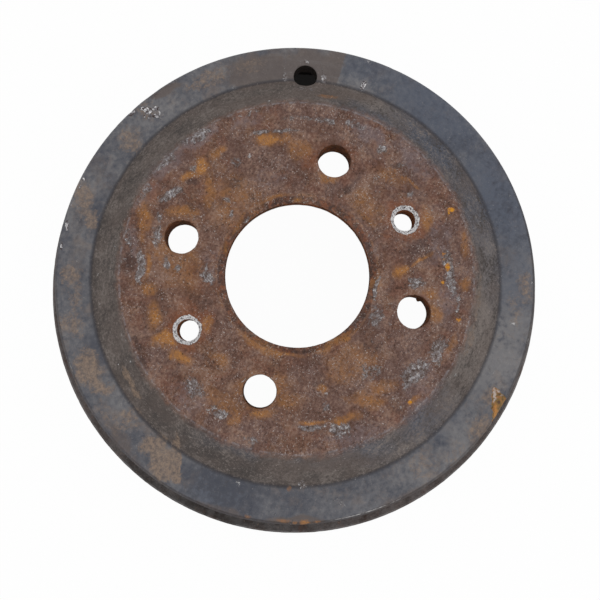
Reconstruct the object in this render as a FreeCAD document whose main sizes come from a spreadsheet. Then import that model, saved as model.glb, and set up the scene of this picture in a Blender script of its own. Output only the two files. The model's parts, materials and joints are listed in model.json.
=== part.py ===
"""A used brake drum for a small car's rear axle: one grey-iron casting, turned inside and drilled.

The origin is on the bore's axis, in the machined seat that lies against the hub. +Z points
outboard, towards the road wheel, so the drum lies on its open rim. All sizes are in millimetres.
"""
import FreeCAD, Part
import os
import Sketcher

NODE = "brake_drum"
SIZES = "Sizes"

# Driving dimensions: name, size, what it measures.
DRIVING_DIMENSIONS = (
    ("web_thickness", "9.0", "hub seat to wheel face"),
    ("overall_height", "50.5", "wheel face to open rim"),
    ("wheel_face_diameter", "142.2", "flat face that the road wheel is bolted against"),
    ("wheel_face_rounding", "0.9", "worn edge of the wheel face"),
    ("ring_drop", "10.6", "wheel face down to the outer ring face"),
    ("ring_width", "15.5", "ring face, from the shoulder's foot to the outside of the wall"),
    ("ring_thickness", "6.5", "thickness of the plate behind the ring face"),
    ("shoulder_foot_fillet", "2.0", "fillet at the foot of the shoulder"),
    ("friction_diameter", "185.4", "bored surface that the shoes press on"),
    ("friction_mouth_chamfer", "1.6", "lead-in at the open end of the bored surface"),
    ("wall_thickness", "7.6", "bored surface to the outside of the wall"),
    ("ring_edge_chamfer", "1.0", "chamfer round the ring face"),
    ("flange_reach", "9.4", "stiffening flange, measured outwards from the wall"),
    ("flange_thickness", "11.5", "stiffening flange, measured along the axis"),
    ("flange_root_fillet", "2.0", "fillet between wall and flange"),
    ("flange_edge_chamfer", "1.0", "both edges of the flange"),
    ("lip_reach", "2.7", "lip at the open end, measured outwards from the wall"),
    ("lip_height", "4.0", "lip that enters the backing plate's channel, along the axis"),
    ("lip_edge_chamfer", "0.8", "outer edge of the lip"),
    ("runout_depth", "0.9", "tool run-out groove, measured into the wall"),
    ("runout_width", "4.0", "tool run-out groove, measured along the axis"),
    ("cavity_corner_bevel", "1.8", "bevel between run-out groove and plate"),
    ("recess_foot_inset", "5.0", "foot of the hub recess, inwards from the shoulder's foot"),
    ("recess_seat_inset", "2.4", "edge of the hub seat, inwards from the wheel face's edge"),
    ("recess_seat_fillet", "2.2", "fillet round the hub seat"),
    ("recess_foot_bevel", "1.2", "turned edge of the hub recess"),
    ("bore_diameter", "58.6", "centre bore over the hub spigot"),
    ("bore_front_width", "2.5", "shallow front bevel of the bore, measured across"),
    ("bore_front_depth", "1.4", "shallow front bevel of the bore, measured along the axis"),
    ("bore_back_chamfer", "4.3", "lead-in at the back of the bore"),
    ("bolt_circle_diameter", "98.0", "circle of the wheel bolts and retaining screws"),
    ("bolt_hole_diameter", "13.4", "clearance hole for a wheel bolt"),
    ("bolt_hole_count", "4", "wheel bolt holes on the circle"),
    ("screw_hole_diameter", "8.7", "clearance hole for a retaining screw"),
    ("screw_countersink_diameter", "11.5", "mouth of the countersink"),
    ("screw_countersink_angle", "90", "full angle of the countersink"),
    ("screw_hole_count", "2", "retaining screw holes on the circle"),
    ("screw_hole_turn", "-45", "angle from a wheel bolt hole to a screw hole"),
    ("access_hole_diameter", "10.0", "hole through which the shoes are adjusted"),
    ("access_hole_margin", "0.55", "access hole's edge, inwards from the bored surface"),
    ("access_hole_turn", "15.5", "angle from a wheel bolt hole to the access hole"),
    ("chip_depth", "1.3", "flake broken out of the ring's edge"),
    ("chip_length", "10.8", "flake, measured along the edge"),
    ("chip_reach", "6.8", "flake, measured inwards from the edge to its point"),
    ("chip_turn", "-101.6", "angle from a wheel bolt hole to the flake's point"),
)

# Levels above the hub seat, as expressions of the driving dimensions.
WHEEL_FACE = "Sizes.web_thickness"
RING_FACE = "(Sizes.web_thickness - Sizes.ring_drop)"
PLATE_BACK = "(Sizes.web_thickness - Sizes.ring_drop - Sizes.ring_thickness)"
RIM = "(Sizes.web_thickness - Sizes.overall_height)"
FLANGE_UNDERSIDE = RIM + " + Sizes.lip_height"
FLANGE_TOP = FLANGE_UNDERSIDE + " + Sizes.flange_thickness"

# Distances from the axis, as expressions of the driving dimensions.
BOLT_CIRCLE_RADIUS = "Sizes.bolt_circle_diameter / 2"
BORE_RADIUS = "Sizes.bore_diameter / 2"
FRICTION_RADIUS = "Sizes.friction_diameter / 2"
WHEEL_FACE_RADIUS = "Sizes.wheel_face_diameter / 2"
BODY_RADIUS = "(Sizes.friction_diameter / 2 + Sizes.wall_thickness)"
FLANGE_RADIUS = BODY_RADIUS + " + Sizes.flange_reach"
LIP_RADIUS = BODY_RADIUS + " + Sizes.lip_reach"
GROOVE_RADIUS = FRICTION_RADIUS + " + Sizes.runout_depth"
SHOULDER_FOOT_RADIUS = BODY_RADIUS + " - Sizes.ring_width"
RECESS_FOOT_RADIUS = SHOULDER_FOOT_RADIUS + " - Sizes.recess_foot_inset"
RECESS_SEAT_RADIUS = WHEEL_FACE_RADIUS + " - Sizes.recess_seat_inset"

# How far a cutting profile runs past the surface that it opens into.
CUT_PAST = 2.0

# How closely an edge's radius and level must match the place where it is looked for.
MATCH = 1e-4

FILLET = "PartDesign::Fillet"
CHAMFER = "PartDesign::Chamfer"


def fill_sheet(sheet):
    """Write each driving dimension into the sheet, with its name and its meaning beside it."""
    for row, (name, size, meaning) in enumerate(DRIVING_DIMENSIONS, start=1):
        sheet.set("A{}".format(row), name)
        sheet.set("B{}".format(row), size)
        sheet.set("C{}".format(row), meaning)
        sheet.setAlias("B{}".format(row), name)


def origin_plane(body, role):
    """One of the body's own origin planes, found by its role."""
    return next(item for item in body.Origin.OriginFeatures if item.Role == role)


def new_sketch(body, name, role, height=None):
    """A sketch on an origin plane of the body, raised to the given level along the axis."""
    sketch = body.newObject("Sketcher::SketchObject", name)
    sketch.AttachmentSupport = [(origin_plane(body, role), "")]
    sketch.MapMode = "FlatFace"
    if height is not None:
        sketch.setExpression("AttachmentOffset.Base.z", height)
    body.Document.recompute()
    return sketch


def bind_vertex(sketch, geometry, end, across, up):
    """Tie one end of a line to its distance from the axis and its level."""
    for kind, expression in (("DistanceX", across), ("DistanceY", up)):
        start = sketch.evalExpression(expression)
        index = sketch.addConstraint(Sketcher.Constraint(kind, -1, 1, geometry, end, start))
        sketch.setExpression("Constraints[{}]".format(index), expression)


def draw_outline(sketch, vertices):
    """Draw a closed outline through (distance, level) expressions, one line per side."""
    places = []
    for across, up in vertices:
        places.append(FreeCAD.Vector(sketch.evalExpression(across), sketch.evalExpression(up), 0))
    count = len(places)
    for side in range(count):
        sketch.addGeometry(Part.LineSegment(places[side], places[(side + 1) % count]), False)
    for side in range(count):
        sketch.addConstraint(Sketcher.Constraint("Coincident", side, 2, (side + 1) % count, 1))
    for side, (across, up) in enumerate(vertices):
        bind_vertex(sketch, side, 1, across, up)


def draw_circle(sketch, across, up, diameter):
    """Draw a circle whose centre and diameter follow the given expressions."""
    centre = FreeCAD.Vector(sketch.evalExpression(across), sketch.evalExpression(up), 0)
    size = sketch.evalExpression(diameter)
    circle = sketch.addGeometry(Part.Circle(centre, FreeCAD.Vector(0, 0, 1), size / 2), False)
    index = sketch.addConstraint(Sketcher.Constraint("Diameter", circle, size))
    sketch.setExpression("Constraints[{}]".format(index), diameter)
    bind_vertex(sketch, circle, 3, across, up)


def turn_profile(body, kind, name, vertices):
    """Revolve an outline in the XZ plane round the axis, as added or as removed material."""
    sketch = new_sketch(body, name + "_profile", "XZ_Plane")
    draw_outline(sketch, vertices)
    feature = body.newObject(kind, name)
    feature.Profile = sketch
    feature.ReferenceAxis = (sketch, ["V_Axis"])
    feature.Angle = 360.0
    body.Document.recompute()
    return feature


def round_edges(shape, radius, level):
    """Names of the circles round the axis that have this radius and lie at this level."""
    found = []
    for number, edge in enumerate(shape.Edges, start=1):
        if not isinstance(edge.Curve, Part.Circle):
            continue
        centre = edge.Curve.Center
        on_axis = abs(centre.x) < MATCH and abs(centre.y) < MATCH
        if on_axis and abs(centre.z - level) < MATCH and abs(edge.Curve.Radius - radius) < MATCH:
            found.append("Edge{}".format(number))
    return found


def dress_edges(body, kind, size_name, places):
    """Fillet or chamfer the circles at the given (radius, level) expressions."""
    base = body.Tip
    edges = []
    for radius, level in places:
        found = round_edges(base.Shape, body.evalExpression(radius), body.evalExpression(level))
        if not found:
            raise RuntimeError("no edge for {} at {}, {}".format(size_name, radius, level))
        edges.extend(found)
    feature = body.newObject(kind, size_name)
    feature.Base = (base, edges)
    size_property = "Radius" if kind == FILLET else "Size"
    feature.setExpression(size_property, "{}.{}".format(SIZES, size_name))
    body.Document.recompute()
    return feature


def repeat_round(body, feature, name, count_name):
    """Repeat a feature evenly round the axis."""
    pattern = body.newObject("PartDesign::PolarPattern", name)
    pattern.Originals = [feature]
    pattern.Axis = (feature.Profile[0], ["N_Axis"])
    pattern.Angle = 360.0
    pattern.setExpression("Occurrences", "{}.{}".format(SIZES, count_name))
    body.Tip = pattern
    body.Document.recompute()
    return pattern


def cast_blank(body):
    """The outside of the casting: web, shoulder, ring, wall, flange and lip, still solid inside."""
    return turn_profile(body, "PartDesign::Revolution", "casting", (
        ("0", RIM),
        (LIP_RADIUS, RIM),
        (LIP_RADIUS, FLANGE_UNDERSIDE),
        (FLANGE_RADIUS, FLANGE_UNDERSIDE),
        (FLANGE_RADIUS, FLANGE_TOP),
        (BODY_RADIUS, FLANGE_TOP),
        (BODY_RADIUS, RING_FACE),
        (SHOULDER_FOOT_RADIUS, RING_FACE),
        (WHEEL_FACE_RADIUS, WHEEL_FACE),
        ("0", WHEEL_FACE),
    ))


def shoe_cavity(body):
    """The space for the shoes: bored surface, run-out groove, plate and hub recess."""
    groove_edge = PLATE_BACK + " - Sizes.runout_width"
    mouth_radius = FRICTION_RADIUS + " + Sizes.friction_mouth_chamfer"
    return turn_profile(body, "PartDesign::Groove", "cavity", (
        ("0", RIM + " - {}".format(CUT_PAST)),
        (mouth_radius, RIM + " - {}".format(CUT_PAST)),
        (mouth_radius, RIM),
        (FRICTION_RADIUS, RIM + " + Sizes.friction_mouth_chamfer"),
        (FRICTION_RADIUS, groove_edge),
        (GROOVE_RADIUS, groove_edge + " + Sizes.runout_depth"),
        (GROOVE_RADIUS, PLATE_BACK),
        (RECESS_FOOT_RADIUS, PLATE_BACK),
        (RECESS_SEAT_RADIUS, "0"),
        ("0", "0"),
    ))


def centre_bore(body):
    """The bore over the hub spigot, with a shallow front bevel and a deep lead-in behind."""
    front_radius = BORE_RADIUS + " + Sizes.bore_front_width"
    back_radius = BORE_RADIUS + " + Sizes.bore_back_chamfer"
    return turn_profile(body, "PartDesign::Groove", "bore", (
        ("0", "-{}".format(CUT_PAST)),
        (back_radius, "-{}".format(CUT_PAST)),
        (back_radius, "0"),
        (BORE_RADIUS, "Sizes.bore_back_chamfer"),
        (BORE_RADIUS, WHEEL_FACE + " - Sizes.bore_front_depth"),
        (front_radius, WHEEL_FACE),
        (front_radius, WHEEL_FACE + " + {}".format(CUT_PAST)),
        ("0", WHEEL_FACE + " + {}".format(CUT_PAST)),
    ))


def dress_casting(body):
    """The fillets, roundings and chamfers that the mould and the lathe leave."""
    dress_edges(body, FILLET, "shoulder_foot_fillet", ((SHOULDER_FOOT_RADIUS, RING_FACE),))
    dress_edges(body, FILLET, "wheel_face_rounding", ((WHEEL_FACE_RADIUS, WHEEL_FACE),))
    dress_edges(body, CHAMFER, "ring_edge_chamfer", ((BODY_RADIUS, RING_FACE),))
    dress_edges(body, FILLET, "flange_root_fillet", ((BODY_RADIUS, FLANGE_TOP),))
    flange_edges = ((FLANGE_RADIUS, FLANGE_TOP), (FLANGE_RADIUS, FLANGE_UNDERSIDE))
    dress_edges(body, CHAMFER, "flange_edge_chamfer", flange_edges)
    dress_edges(body, CHAMFER, "lip_edge_chamfer", ((LIP_RADIUS, RIM),))
    dress_edges(body, CHAMFER, "cavity_corner_bevel", ((GROOVE_RADIUS, PLATE_BACK),))
    dress_edges(body, CHAMFER, "recess_foot_bevel", ((RECESS_FOOT_RADIUS, PLATE_BACK),))
    dress_edges(body, FILLET, "recess_seat_fillet", ((RECESS_SEAT_RADIUS, "0"),))


def wheel_bolt_holes(body):
    """The plain clearance holes for the wheel bolts."""
    sketch = new_sketch(body, "bolt_hole_centre", "XY_Plane", WHEEL_FACE)
    draw_circle(sketch, BOLT_CIRCLE_RADIUS, "0", "Sizes.bolt_hole_diameter")
    hole = body.newObject("PartDesign::Pocket", "bolt_hole")
    hole.Profile = sketch
    hole.Type = "ThroughAll"
    body.Document.recompute()
    return repeat_round(body, hole, "bolt_holes", "bolt_hole_count")


def retaining_screw_holes(body):
    """The countersunk holes of the screws that hold the drum while the wheel is off."""
    sketch = new_sketch(body, "screw_hole_centre", "XY_Plane", WHEEL_FACE)
    across = BOLT_CIRCLE_RADIUS + " * cos(Sizes.screw_hole_turn * 1 deg)"
    up = BOLT_CIRCLE_RADIUS + " * sin(Sizes.screw_hole_turn * 1 deg)"
    draw_circle(sketch, across, up, "Sizes.screw_hole_diameter")
    body.Document.recompute()
    hole = body.newObject("PartDesign::Hole", "screw_hole")
    hole.Profile = sketch
    hole.DepthType = "ThroughAll"
    hole.setExpression("Diameter", "Sizes.screw_hole_diameter")
    hole.HoleCutType = "Countersink"
    hole.HoleCutCustomValues = True
    hole.setExpression("HoleCutDiameter", "Sizes.screw_countersink_diameter")
    hole.setExpression("HoleCutCountersinkAngle", "Sizes.screw_countersink_angle")
    body.Document.recompute()
    return repeat_round(body, hole, "screw_holes", "screw_hole_count")


def access_hole(body):
    """The hole in the ring plate through which the shoes are reached with a tool."""
    sketch = new_sketch(body, "access_hole_centre", "XY_Plane", WHEEL_FACE)
    reach = "(({}) - Sizes.access_hole_margin - Sizes.access_hole_diameter / 2)".format(FRICTION_RADIUS)
    across = reach + " * cos(Sizes.access_hole_turn * 1 deg)"
    up = reach + " * sin(Sizes.access_hole_turn * 1 deg)"
    draw_circle(sketch, across, up, "Sizes.access_hole_diameter")
    hole = body.newObject("PartDesign::Pocket", "access_hole")
    hole.Profile = sketch
    hole.Type = "ThroughAll"
    body.Document.recompute()
    return hole


def edge_chip(body):
    """The three-cornered flake that is broken out of the ring's outer edge."""
    sketch = new_sketch(body, "edge_chip_outline", "XY_Plane", RING_FACE)
    point_radius = "({} - Sizes.chip_reach)".format(BODY_RADIUS)
    edge_radius = "({} + {})".format(BODY_RADIUS, CUT_PAST)
    near_turn = "(Sizes.chip_turn * 1 deg)"
    far_turn = "(Sizes.chip_turn * 1 deg - Sizes.chip_length / {} * 1 rad)".format(BODY_RADIUS)
    draw_outline(sketch, (
        (point_radius + " * cos" + near_turn, point_radius + " * sin" + near_turn),
        (edge_radius + " * cos" + near_turn, edge_radius + " * sin" + near_turn),
        (edge_radius + " * cos" + far_turn, edge_radius + " * sin" + far_turn),
    ))
    chip = body.newObject("PartDesign::Pocket", "edge_chip")
    chip.Profile = sketch
    chip.Type = "Length"
    chip.setExpression("Length", "Sizes.chip_depth")
    body.Document.recompute()
    return chip


def must_remove(body, make):
    """Make a cut and make sure that it took material away."""
    before = body.Shape.Volume
    make(body)
    if body.Shape.Volume >= before - MATCH:
        raise RuntimeError("{} removes nothing".format(make.__name__))


def check(document):
    """Stop if any object failed or any solid is missing, open or broken."""
    for item in document.Objects:
        if "Invalid" in item.State or "Error" in item.State:
            raise RuntimeError("{} failed: {}".format(item.Label, item.State))
        if item.isDerivedFrom("Part::Feature") and not item.isDerivedFrom("Part::Part2DObject"):
            if item.Shape.isNull() or not item.Shape.isValid():
                raise RuntimeError("{} has no valid shape".format(item.Label))


def build():
    """Build the drum and write it out."""
    document = FreeCAD.newDocument("brake_drum_model")
    sheet = document.addObject("Spreadsheet::Sheet", SIZES)
    fill_sheet(sheet)
    document.recompute()
    drum = document.addObject("PartDesign::Body", NODE)
    drum.Label = NODE
    drum.Placement = FreeCAD.Placement()
    cast_blank(drum)
    must_remove(drum, shoe_cavity)
    must_remove(drum, centre_bore)
    dress_casting(drum)
    must_remove(drum, wheel_bolt_holes)
    must_remove(drum, retaining_screw_holes)
    must_remove(drum, access_hole)
    must_remove(drum, edge_chip)
    document.recompute()
    check(document)
    if len(drum.Shape.Solids) != 1:
        raise RuntimeError("the drum is not one solid")
    os.makedirs("parts", exist_ok=True)
    drum.Shape.exportStep("parts/{}.step".format(NODE))
    box = drum.Shape.optimalBoundingBox(False)
    print("volume", round(drum.Shape.Volume), "mm3")
    print("size", round(box.XLength, 2), round(box.YLength, 2), round(box.ZLength, 2), "mm")


build()
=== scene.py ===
"""A used brake drum of cast iron, lying on its open rim: rust scale, oxide skin, stains and wear.

Lengths in the mesh code are millimetres in the part's own frame. Places of stains and marks are given
as seen from above with the access hole at the top: right and up from the drum's axis.
"""

import itertools
import json
import math

import bpy
import numpy as np
from mathutils import Matrix, Vector, geometry


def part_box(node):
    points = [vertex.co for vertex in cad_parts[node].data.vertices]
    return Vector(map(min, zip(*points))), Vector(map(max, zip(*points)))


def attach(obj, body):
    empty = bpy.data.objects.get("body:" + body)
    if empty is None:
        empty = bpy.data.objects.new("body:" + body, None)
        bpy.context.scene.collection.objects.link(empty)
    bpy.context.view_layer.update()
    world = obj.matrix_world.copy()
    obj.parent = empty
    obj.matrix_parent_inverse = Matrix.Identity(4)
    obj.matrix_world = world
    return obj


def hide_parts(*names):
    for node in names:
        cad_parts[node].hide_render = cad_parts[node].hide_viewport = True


bl_info = {
    "name": "Used brake drum",
    "version": (1, 0, 0),
    "blender": (4, 5, 0),
    "location": "View3D > Sidebar > Brake drum",
    "description": "Builds a rusty cast-iron brake drum and the stage that it lies on",
    "category": "Object",
}

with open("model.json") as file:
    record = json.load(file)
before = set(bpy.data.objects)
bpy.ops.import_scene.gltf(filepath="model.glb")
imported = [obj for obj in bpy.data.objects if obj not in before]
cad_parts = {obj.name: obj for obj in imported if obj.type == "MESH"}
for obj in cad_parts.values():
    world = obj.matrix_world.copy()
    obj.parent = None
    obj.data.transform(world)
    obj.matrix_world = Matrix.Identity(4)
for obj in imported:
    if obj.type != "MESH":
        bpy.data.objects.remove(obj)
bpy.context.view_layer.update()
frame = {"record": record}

NODE = "brake_drum"
PIECE = "drum_casting"
BODY = "root"
MM = 0.001

MOUNTS = {mount["name"]: mount for mount in frame["record"]["mounts"]}
LOW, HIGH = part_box(NODE)

# Levels and distances from the axis that the frame gives, in millimetres.
WHEEL_FACE = HIGH.z / MM
RIM = LOW.z / MM
FLANGE_RADIUS = HIGH.x / MM
BOLT_CIRCLE_RADIUS = MOUNTS["wheel_bolt_holes"]["dims"]["pcd_mm"] / 2
BOLT_HOLE_RADIUS = MOUNTS["wheel_bolt_holes"]["dims"]["hole_r_mm"]
SCREW_HOLE_RADIUS = MOUNTS["retaining_screw_holes"]["dims"]["hole_r_mm"]
BORE_RADIUS = MOUNTS["centre_bore"]["dims"]["r_mm"]
FRICTION_RADIUS = MOUNTS["friction_surface"]["dims"]["r_mm"]
ACCESS_RADIUS = MOUNTS["access_hole"]["dims"]["r_mm"]
ACCESS_PLACE = tuple(metres / MM for metres in MOUNTS["access_hole"]["pos_m"][:2])

# The picture's frame is the part's frame turned by this angle, in degrees.
PICTURE_TURN = -72.056

SEED = 11


def srgb(red, green, blue):
    """A colour given as it looks on a screen, 0 to 255, as Blender's linear values."""
    steps = (red / 255, green / 255, blue / 255)
    return tuple(c / 12.92 if c <= 0.04045 else ((c + 0.055) / 1.055) ** 2.4 for c in steps)


def length(name, description, millimetres):
    """A length property, in metres."""
    return bpy.props.FloatProperty(
        name=name, description=description, default=millimetres * MM, unit="LENGTH", precision=4)


def colour(name, description, red, green, blue):
    """A colour property, its default given as it looks on a screen."""
    return bpy.props.FloatVectorProperty(
        name=name, description=description, default=srgb(red, green, blue),
        subtype="COLOR", size=3, min=0.0, max=1.0)


class DrumSections(bpy.types.PropertyGroup):
    """The sizes of the casting's section that the frame doesn't name."""
    face_width: length("Wheel face", "Radius of the flat wheel face", 71.1)
    ring_drop: length("Ring drop", "Wheel face down to the outer ring", 10.6)
    ring_width: length("Ring width", "Shoulder's foot to the outside of the wall", 15.5)
    plate: length("Plate", "Thickness of the plate behind the ring", 6.5)
    wall: length("Wall", "Friction surface to the outside of the wall", 7.6)
    flange: length("Flange", "Thickness of the stiffening flange", 11.5)
    lip_height: length("Lip height", "Lip at the open rim, along the axis", 4.0)
    lip_reach: length("Lip reach", "Lip at the open rim, outwards from the wall", 2.7)
    bore_bevel: length("Bore bevel", "Width of the bore's shallow front bevel", 2.5)
    bore_bevel_depth: length("Bore bevel depth", "Depth of the bore's front bevel", 1.4)
    bore_lead_in: length("Bore lead-in", "Chamfer at the back of the bore", 4.3)
    countersink: length("Countersink", "Radius of a screw hole's countersink", 5.75)
    hub_seat: length("Hub seat", "Radius of the machined seat behind the web", 68.7)
    recess_foot: length("Recess foot", "Radius where the hub recess meets the plate", 79.8)


class DrumWear(bpy.types.PropertyGroup):
    """How deep rust, pits and knocks go."""
    scale: length("Rust scale", "Height of the rust plates on the wheel face", 0.16)
    skin: length("Casting skin", "Roughness of the as-cast surfaces", 0.07)
    pit: length("Pits", "Depth of the rust pits", 0.22)
    worn_edge: length("Worn edges", "Rounding of the holes' edges", 0.45)
    nick: length("Nicks", "Depth of the nicks along the ring's edge", 0.12)
    knock: length("Knocks", "Depth of the knocks in the ring and its edge", 0.45)
    chip: length("Chip", "Depth of the flake broken out of the ring's edge", 1.35)
    pits: bpy.props.IntProperty(name="Pit count", description="Pits on the wheel face", default=760)


class DrumFinish(bpy.types.PropertyGroup):
    """Colours of the rusty and worn surfaces, and of painted shade and highlights."""
    rust_dark: colour("Dark rust", "Rust in hollows of the wheel face", 86, 60, 49)
    rust: colour("Rust", "Main brown of the wheel face", 115, 83, 68)
    rust_pale: colour("Pale rust", "Worn brown of the wheel face", 145, 117, 102)
    rust_red: colour("Red rust", "Fresh rust round the holes", 134, 78, 46)
    plum: colour("Plum rust", "Cooler rust of the wheel face", 109, 86, 80)
    ochre: colour("Ochre", "Loose ochre rust", 151, 105, 64)
    orange: colour("Orange rust", "Brightest loose rust", 188, 130, 66)
    yellow: colour("Yellow rust", "Bright spots of new rust", 214, 146, 22)
    stain: colour("Stain", "Dark blots on the wheel face", 66, 53, 51)
    skin_dark: colour("Dark skin", "Shoulder's hollows", 70, 65, 63)
    skin: colour("Casting skin", "Main grey-brown of the shoulder", 96, 88, 84)
    skin_pale: colour("Pale skin", "Worn grain of the shoulder", 124, 115, 110)
    oxide_dark: colour("Dark oxide", "Darker blue-grey of the ring", 66, 69, 79)
    oxide: colour("Oxide", "Main blue-grey of the ring", 95, 95, 100)
    oxide_pale: colour("Pale oxide", "Worn blue-grey of the ring", 123, 121, 122)
    oxide_blue: colour("Blue oxide", "Blued side of the ring", 84, 90, 103)
    dust: colour("Brake dust", "Tan dust on the ring", 150, 128, 109)
    film: colour("Rust film", "Thin brown film on ring and shoulder", 97, 86, 81)
    crumbs: colour("Crumbs", "Pale crumbs of scale", 190, 178, 172)
    # Bare iron, partly a painted highlight: near white for the shine of scraped metal and for the ring's
    # edge.
    bare_iron_and_highlight: colour("Bare iron", "Scraped and knocked metal", 240, 238, 238)
    dull_iron: colour("Dull iron", "Scraped metal gone grey", 142, 139, 144)
    # Also darkens the cavity's corner and the chamfer at the ring's edge.
    black: colour("Black dirt", "Dirt in pits and corners", 44, 34, 30)
    lilac: colour("Lilac scale", "Worn grey-lilac scale at the wheel face's rim", 126, 114, 117)
    # Painted shade with dirt: the dark line in the corner at the shoulder's foot stands partly for the
    # shade there.
    foot: colour("Foot line", "Dirt in the corner at the shoulder's foot", 54, 53, 58)
    # Painted shade with some brake dust: near black where little light reaches, in the access hole and the
    # cavity behind it.
    soot: colour("Soot", "Brake dust in the access hole and behind it", 18, 14, 12)
    olive: colour("Olive rust", "Broken surface of the chip", 122, 98, 54)
    wall_dark: colour("Sooty wall", "Darkest side of the wall and flange", 50, 45, 43)
    wall: colour("Wall", "Dirty outside of the wall and flange", 80, 72, 70)
    wall_pale: colour("Worn wall", "Paler patches of the wall and flange", 104, 94, 91)
    track: colour("Friction track", "Worn bore under the shoes", 112, 108, 106)


class DrumStage(bpy.types.PropertyGroup):
    """Camera, floor and light."""
    lens: bpy.props.FloatProperty(
        name="Lens", description="Focal length of the camera", default=39.0, unit="CAMERA")
    lamp: bpy.props.FloatProperty(
        name="Lamp", description="Power of the soft lamp", default=0.9, unit="POWER", min=0.0)
    sky: bpy.props.FloatProperty(
        name="Sky", description="Strength of the even light from all sides", default=0.8, min=0.0)
    floor: colour("Floor", "Colour of the floor", 236, 236, 236)


# Stains and marks: right, up, half length, half width, lean in degrees, strength.
OCHRE_RUST = (
    (-12, 56, 5.5, 2.4, 5, 1.0), (-5.5, 56, 3.5, 2, 0, 0.6), (-38, 44, 3.2, 3.6, 0, 1.0),
    (-44, 40, 3.6, 1.6, 35, 0.9), (-32.5, 49.5, 3.2, 1.6, 40, 0.7), (-36, 34, 3, 8, 0, 0.55),
    (-46.5, 25.5, 6, 2, 0, 0.65), (-61.5, 23, 2.4, 9, 0, 0.65), (-59.5, 4, 1, 5.5, 0, 0.8),
    (-59.5, -6, 2.8, 2.4, 0, 0.7), (0, 30.5, 2, 1, 0, 0.7), (-28.5, 10.5, 0.8, 3.2, 0, 0.6),
    (-57, -16.5, 2.4, 5, 0, 0.8), (-52.5, -26, 3.6, 3.2, -45, 1.0), (-46.5, -33, 5, 2, -30, 1.0),
    (-36, -20, 2, 3.2, 0, 0.7), (-14.5, -55.5, 5.5, 2, 5, 0.8), (-25, -57.5, 2.4, 3.2, 0, 0.6),
    (6, -58.5, 5.2, 0.8, 0, 0.9), (16.5, -58, 4, 1.6, 15, 0.8), (-15, -28.5, 9, 2, -30, 0.6),
    (15, -27, 8, 1.6, 28, 0.65), (19, -26.5, 2, 1, 28, 0.8), (55, -16, 2.4, 3.6, 0, 0.65),
    (34, -45.5, 4.4, 2.4, 0, 0.6), (9.5, -45.5, 2, 1.6, 0, 0.7), (27.5, -50, 7.2, 2.8, 0, 0.6),
    (12, 40, 3.6, 2, -20, 0.6), (52.5, 22.5, 2.4, 5, 0, 0.7), (41.5, 1, 3.6, 2.2, 25, 1.0),
    (50.3, 6.6, 6.3, 0.65, 37, 1.0), (68, -4.5, 2.4, 2.4, 0, 0.6), (54, -8, 3.2, 2.4, 0, 0.6),
    (32, -4, 2.8, 2.4, 0, 0.6), (39.5, 39.5, 7, 4, -35, 0.45), (47.5, 37, 4, 0.6, -45, 0.7),
    (1, 51, 4, 5.5, 0, 0.45), (-55, 10, 3.2, 4, 0, 0.45), (-4.5, -50.5, 6.5, 3.2, 0, 0.45),
    (21.5, -56, 3.2, 2.4, 0, 0.6), (13, 75.5, 4.5, 1.2, 0, 0.35), (-47, 8, 9, 15, 10, 0.4),
    (-14, -46.5, 12, 7, 0, 0.4), (-6, -98.6, 2.5, 0.5, 0, 0.6), (3, -99.2, 2, 0.6, 0, 0.75),
    (-1.5, -99.4, 0.9, 0.5, 0, 0.7), (7.5, -98.8, 1.4, 0.4, 8, 0.6), (-26, 30, 12, 10, 20, 0.36),
    (-3.5, -85.5, 0.8, 0.8, 0, 0.7), (-20, -96.5, 1.5, 0.4, -12, 0.5), (-9, 31, 5, 0.7, 18, 0.7),
    (-24, 19.5, 0.8, 5, -38, 0.6), (-7, -31.5, 9, 0.9, -10, 0.6), (46, -50, 3.5, 1, 40, 0.5),
    (62, -28, 1.5, 4, -20, 0.5), (-31, -34, 4, 2, -30, 0.5), (68, 12, 1.6, 6, 5, 0.45),
    (-30, -50, 8, 5, -35, 0.42), (22, -36, 12, 7, 25, 0.36), (28, 27, 8, 5, -40, 0.36),
)
RED_HAZE = (
    (-43.5, -22.5, 8.5, 8.5, 0, 1.0), (44, 22.5, 8, 8, 0, 0.9), (-36.5, -19, 3.2, 5, 0, 0.6),
    (5.5, 47, 3.6, 5.5, 0, 0.5), (-59.5, 34, 3.2, 5.5, 30, 0.5), (20, 51.5, 4, 3.2, 0, 0.4),
    (-46.5, 14.5, 7.2, 7.2, 0, 0.35), (14.5, 46.5, 7.2, 7.2, 0, 0.35),
    (-14, -46.5, 7.2, 7.2, 0, 0.25), (46, -15, 7.2, 7.2, 0, 0.25),
)
YELLOW_SPOTS = (
    (62.7, 26.9, 1.3, 1.1, 0, 1.0), (59.4, 8.7, 0.6, 0.6, 0, 0.9), (60.5, 2.6, 0.9, 1.5, -20, 1.0),
    (58.7, -2.7, 0.6, 0.6, 0, 0.9), (44.1, -51.2, 0.7, 0.7, 0, 1.0), (64, -18.4, 1.2, 0.8, 0, 0.6),
    (81.9, -56.2, 0.7, 3.2, -6, 0.62), (59.5, 6, 0.4, 0.5, 0, 0.8), (62, 25, 0.5, 0.9, 0, 0.7),
)
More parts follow.
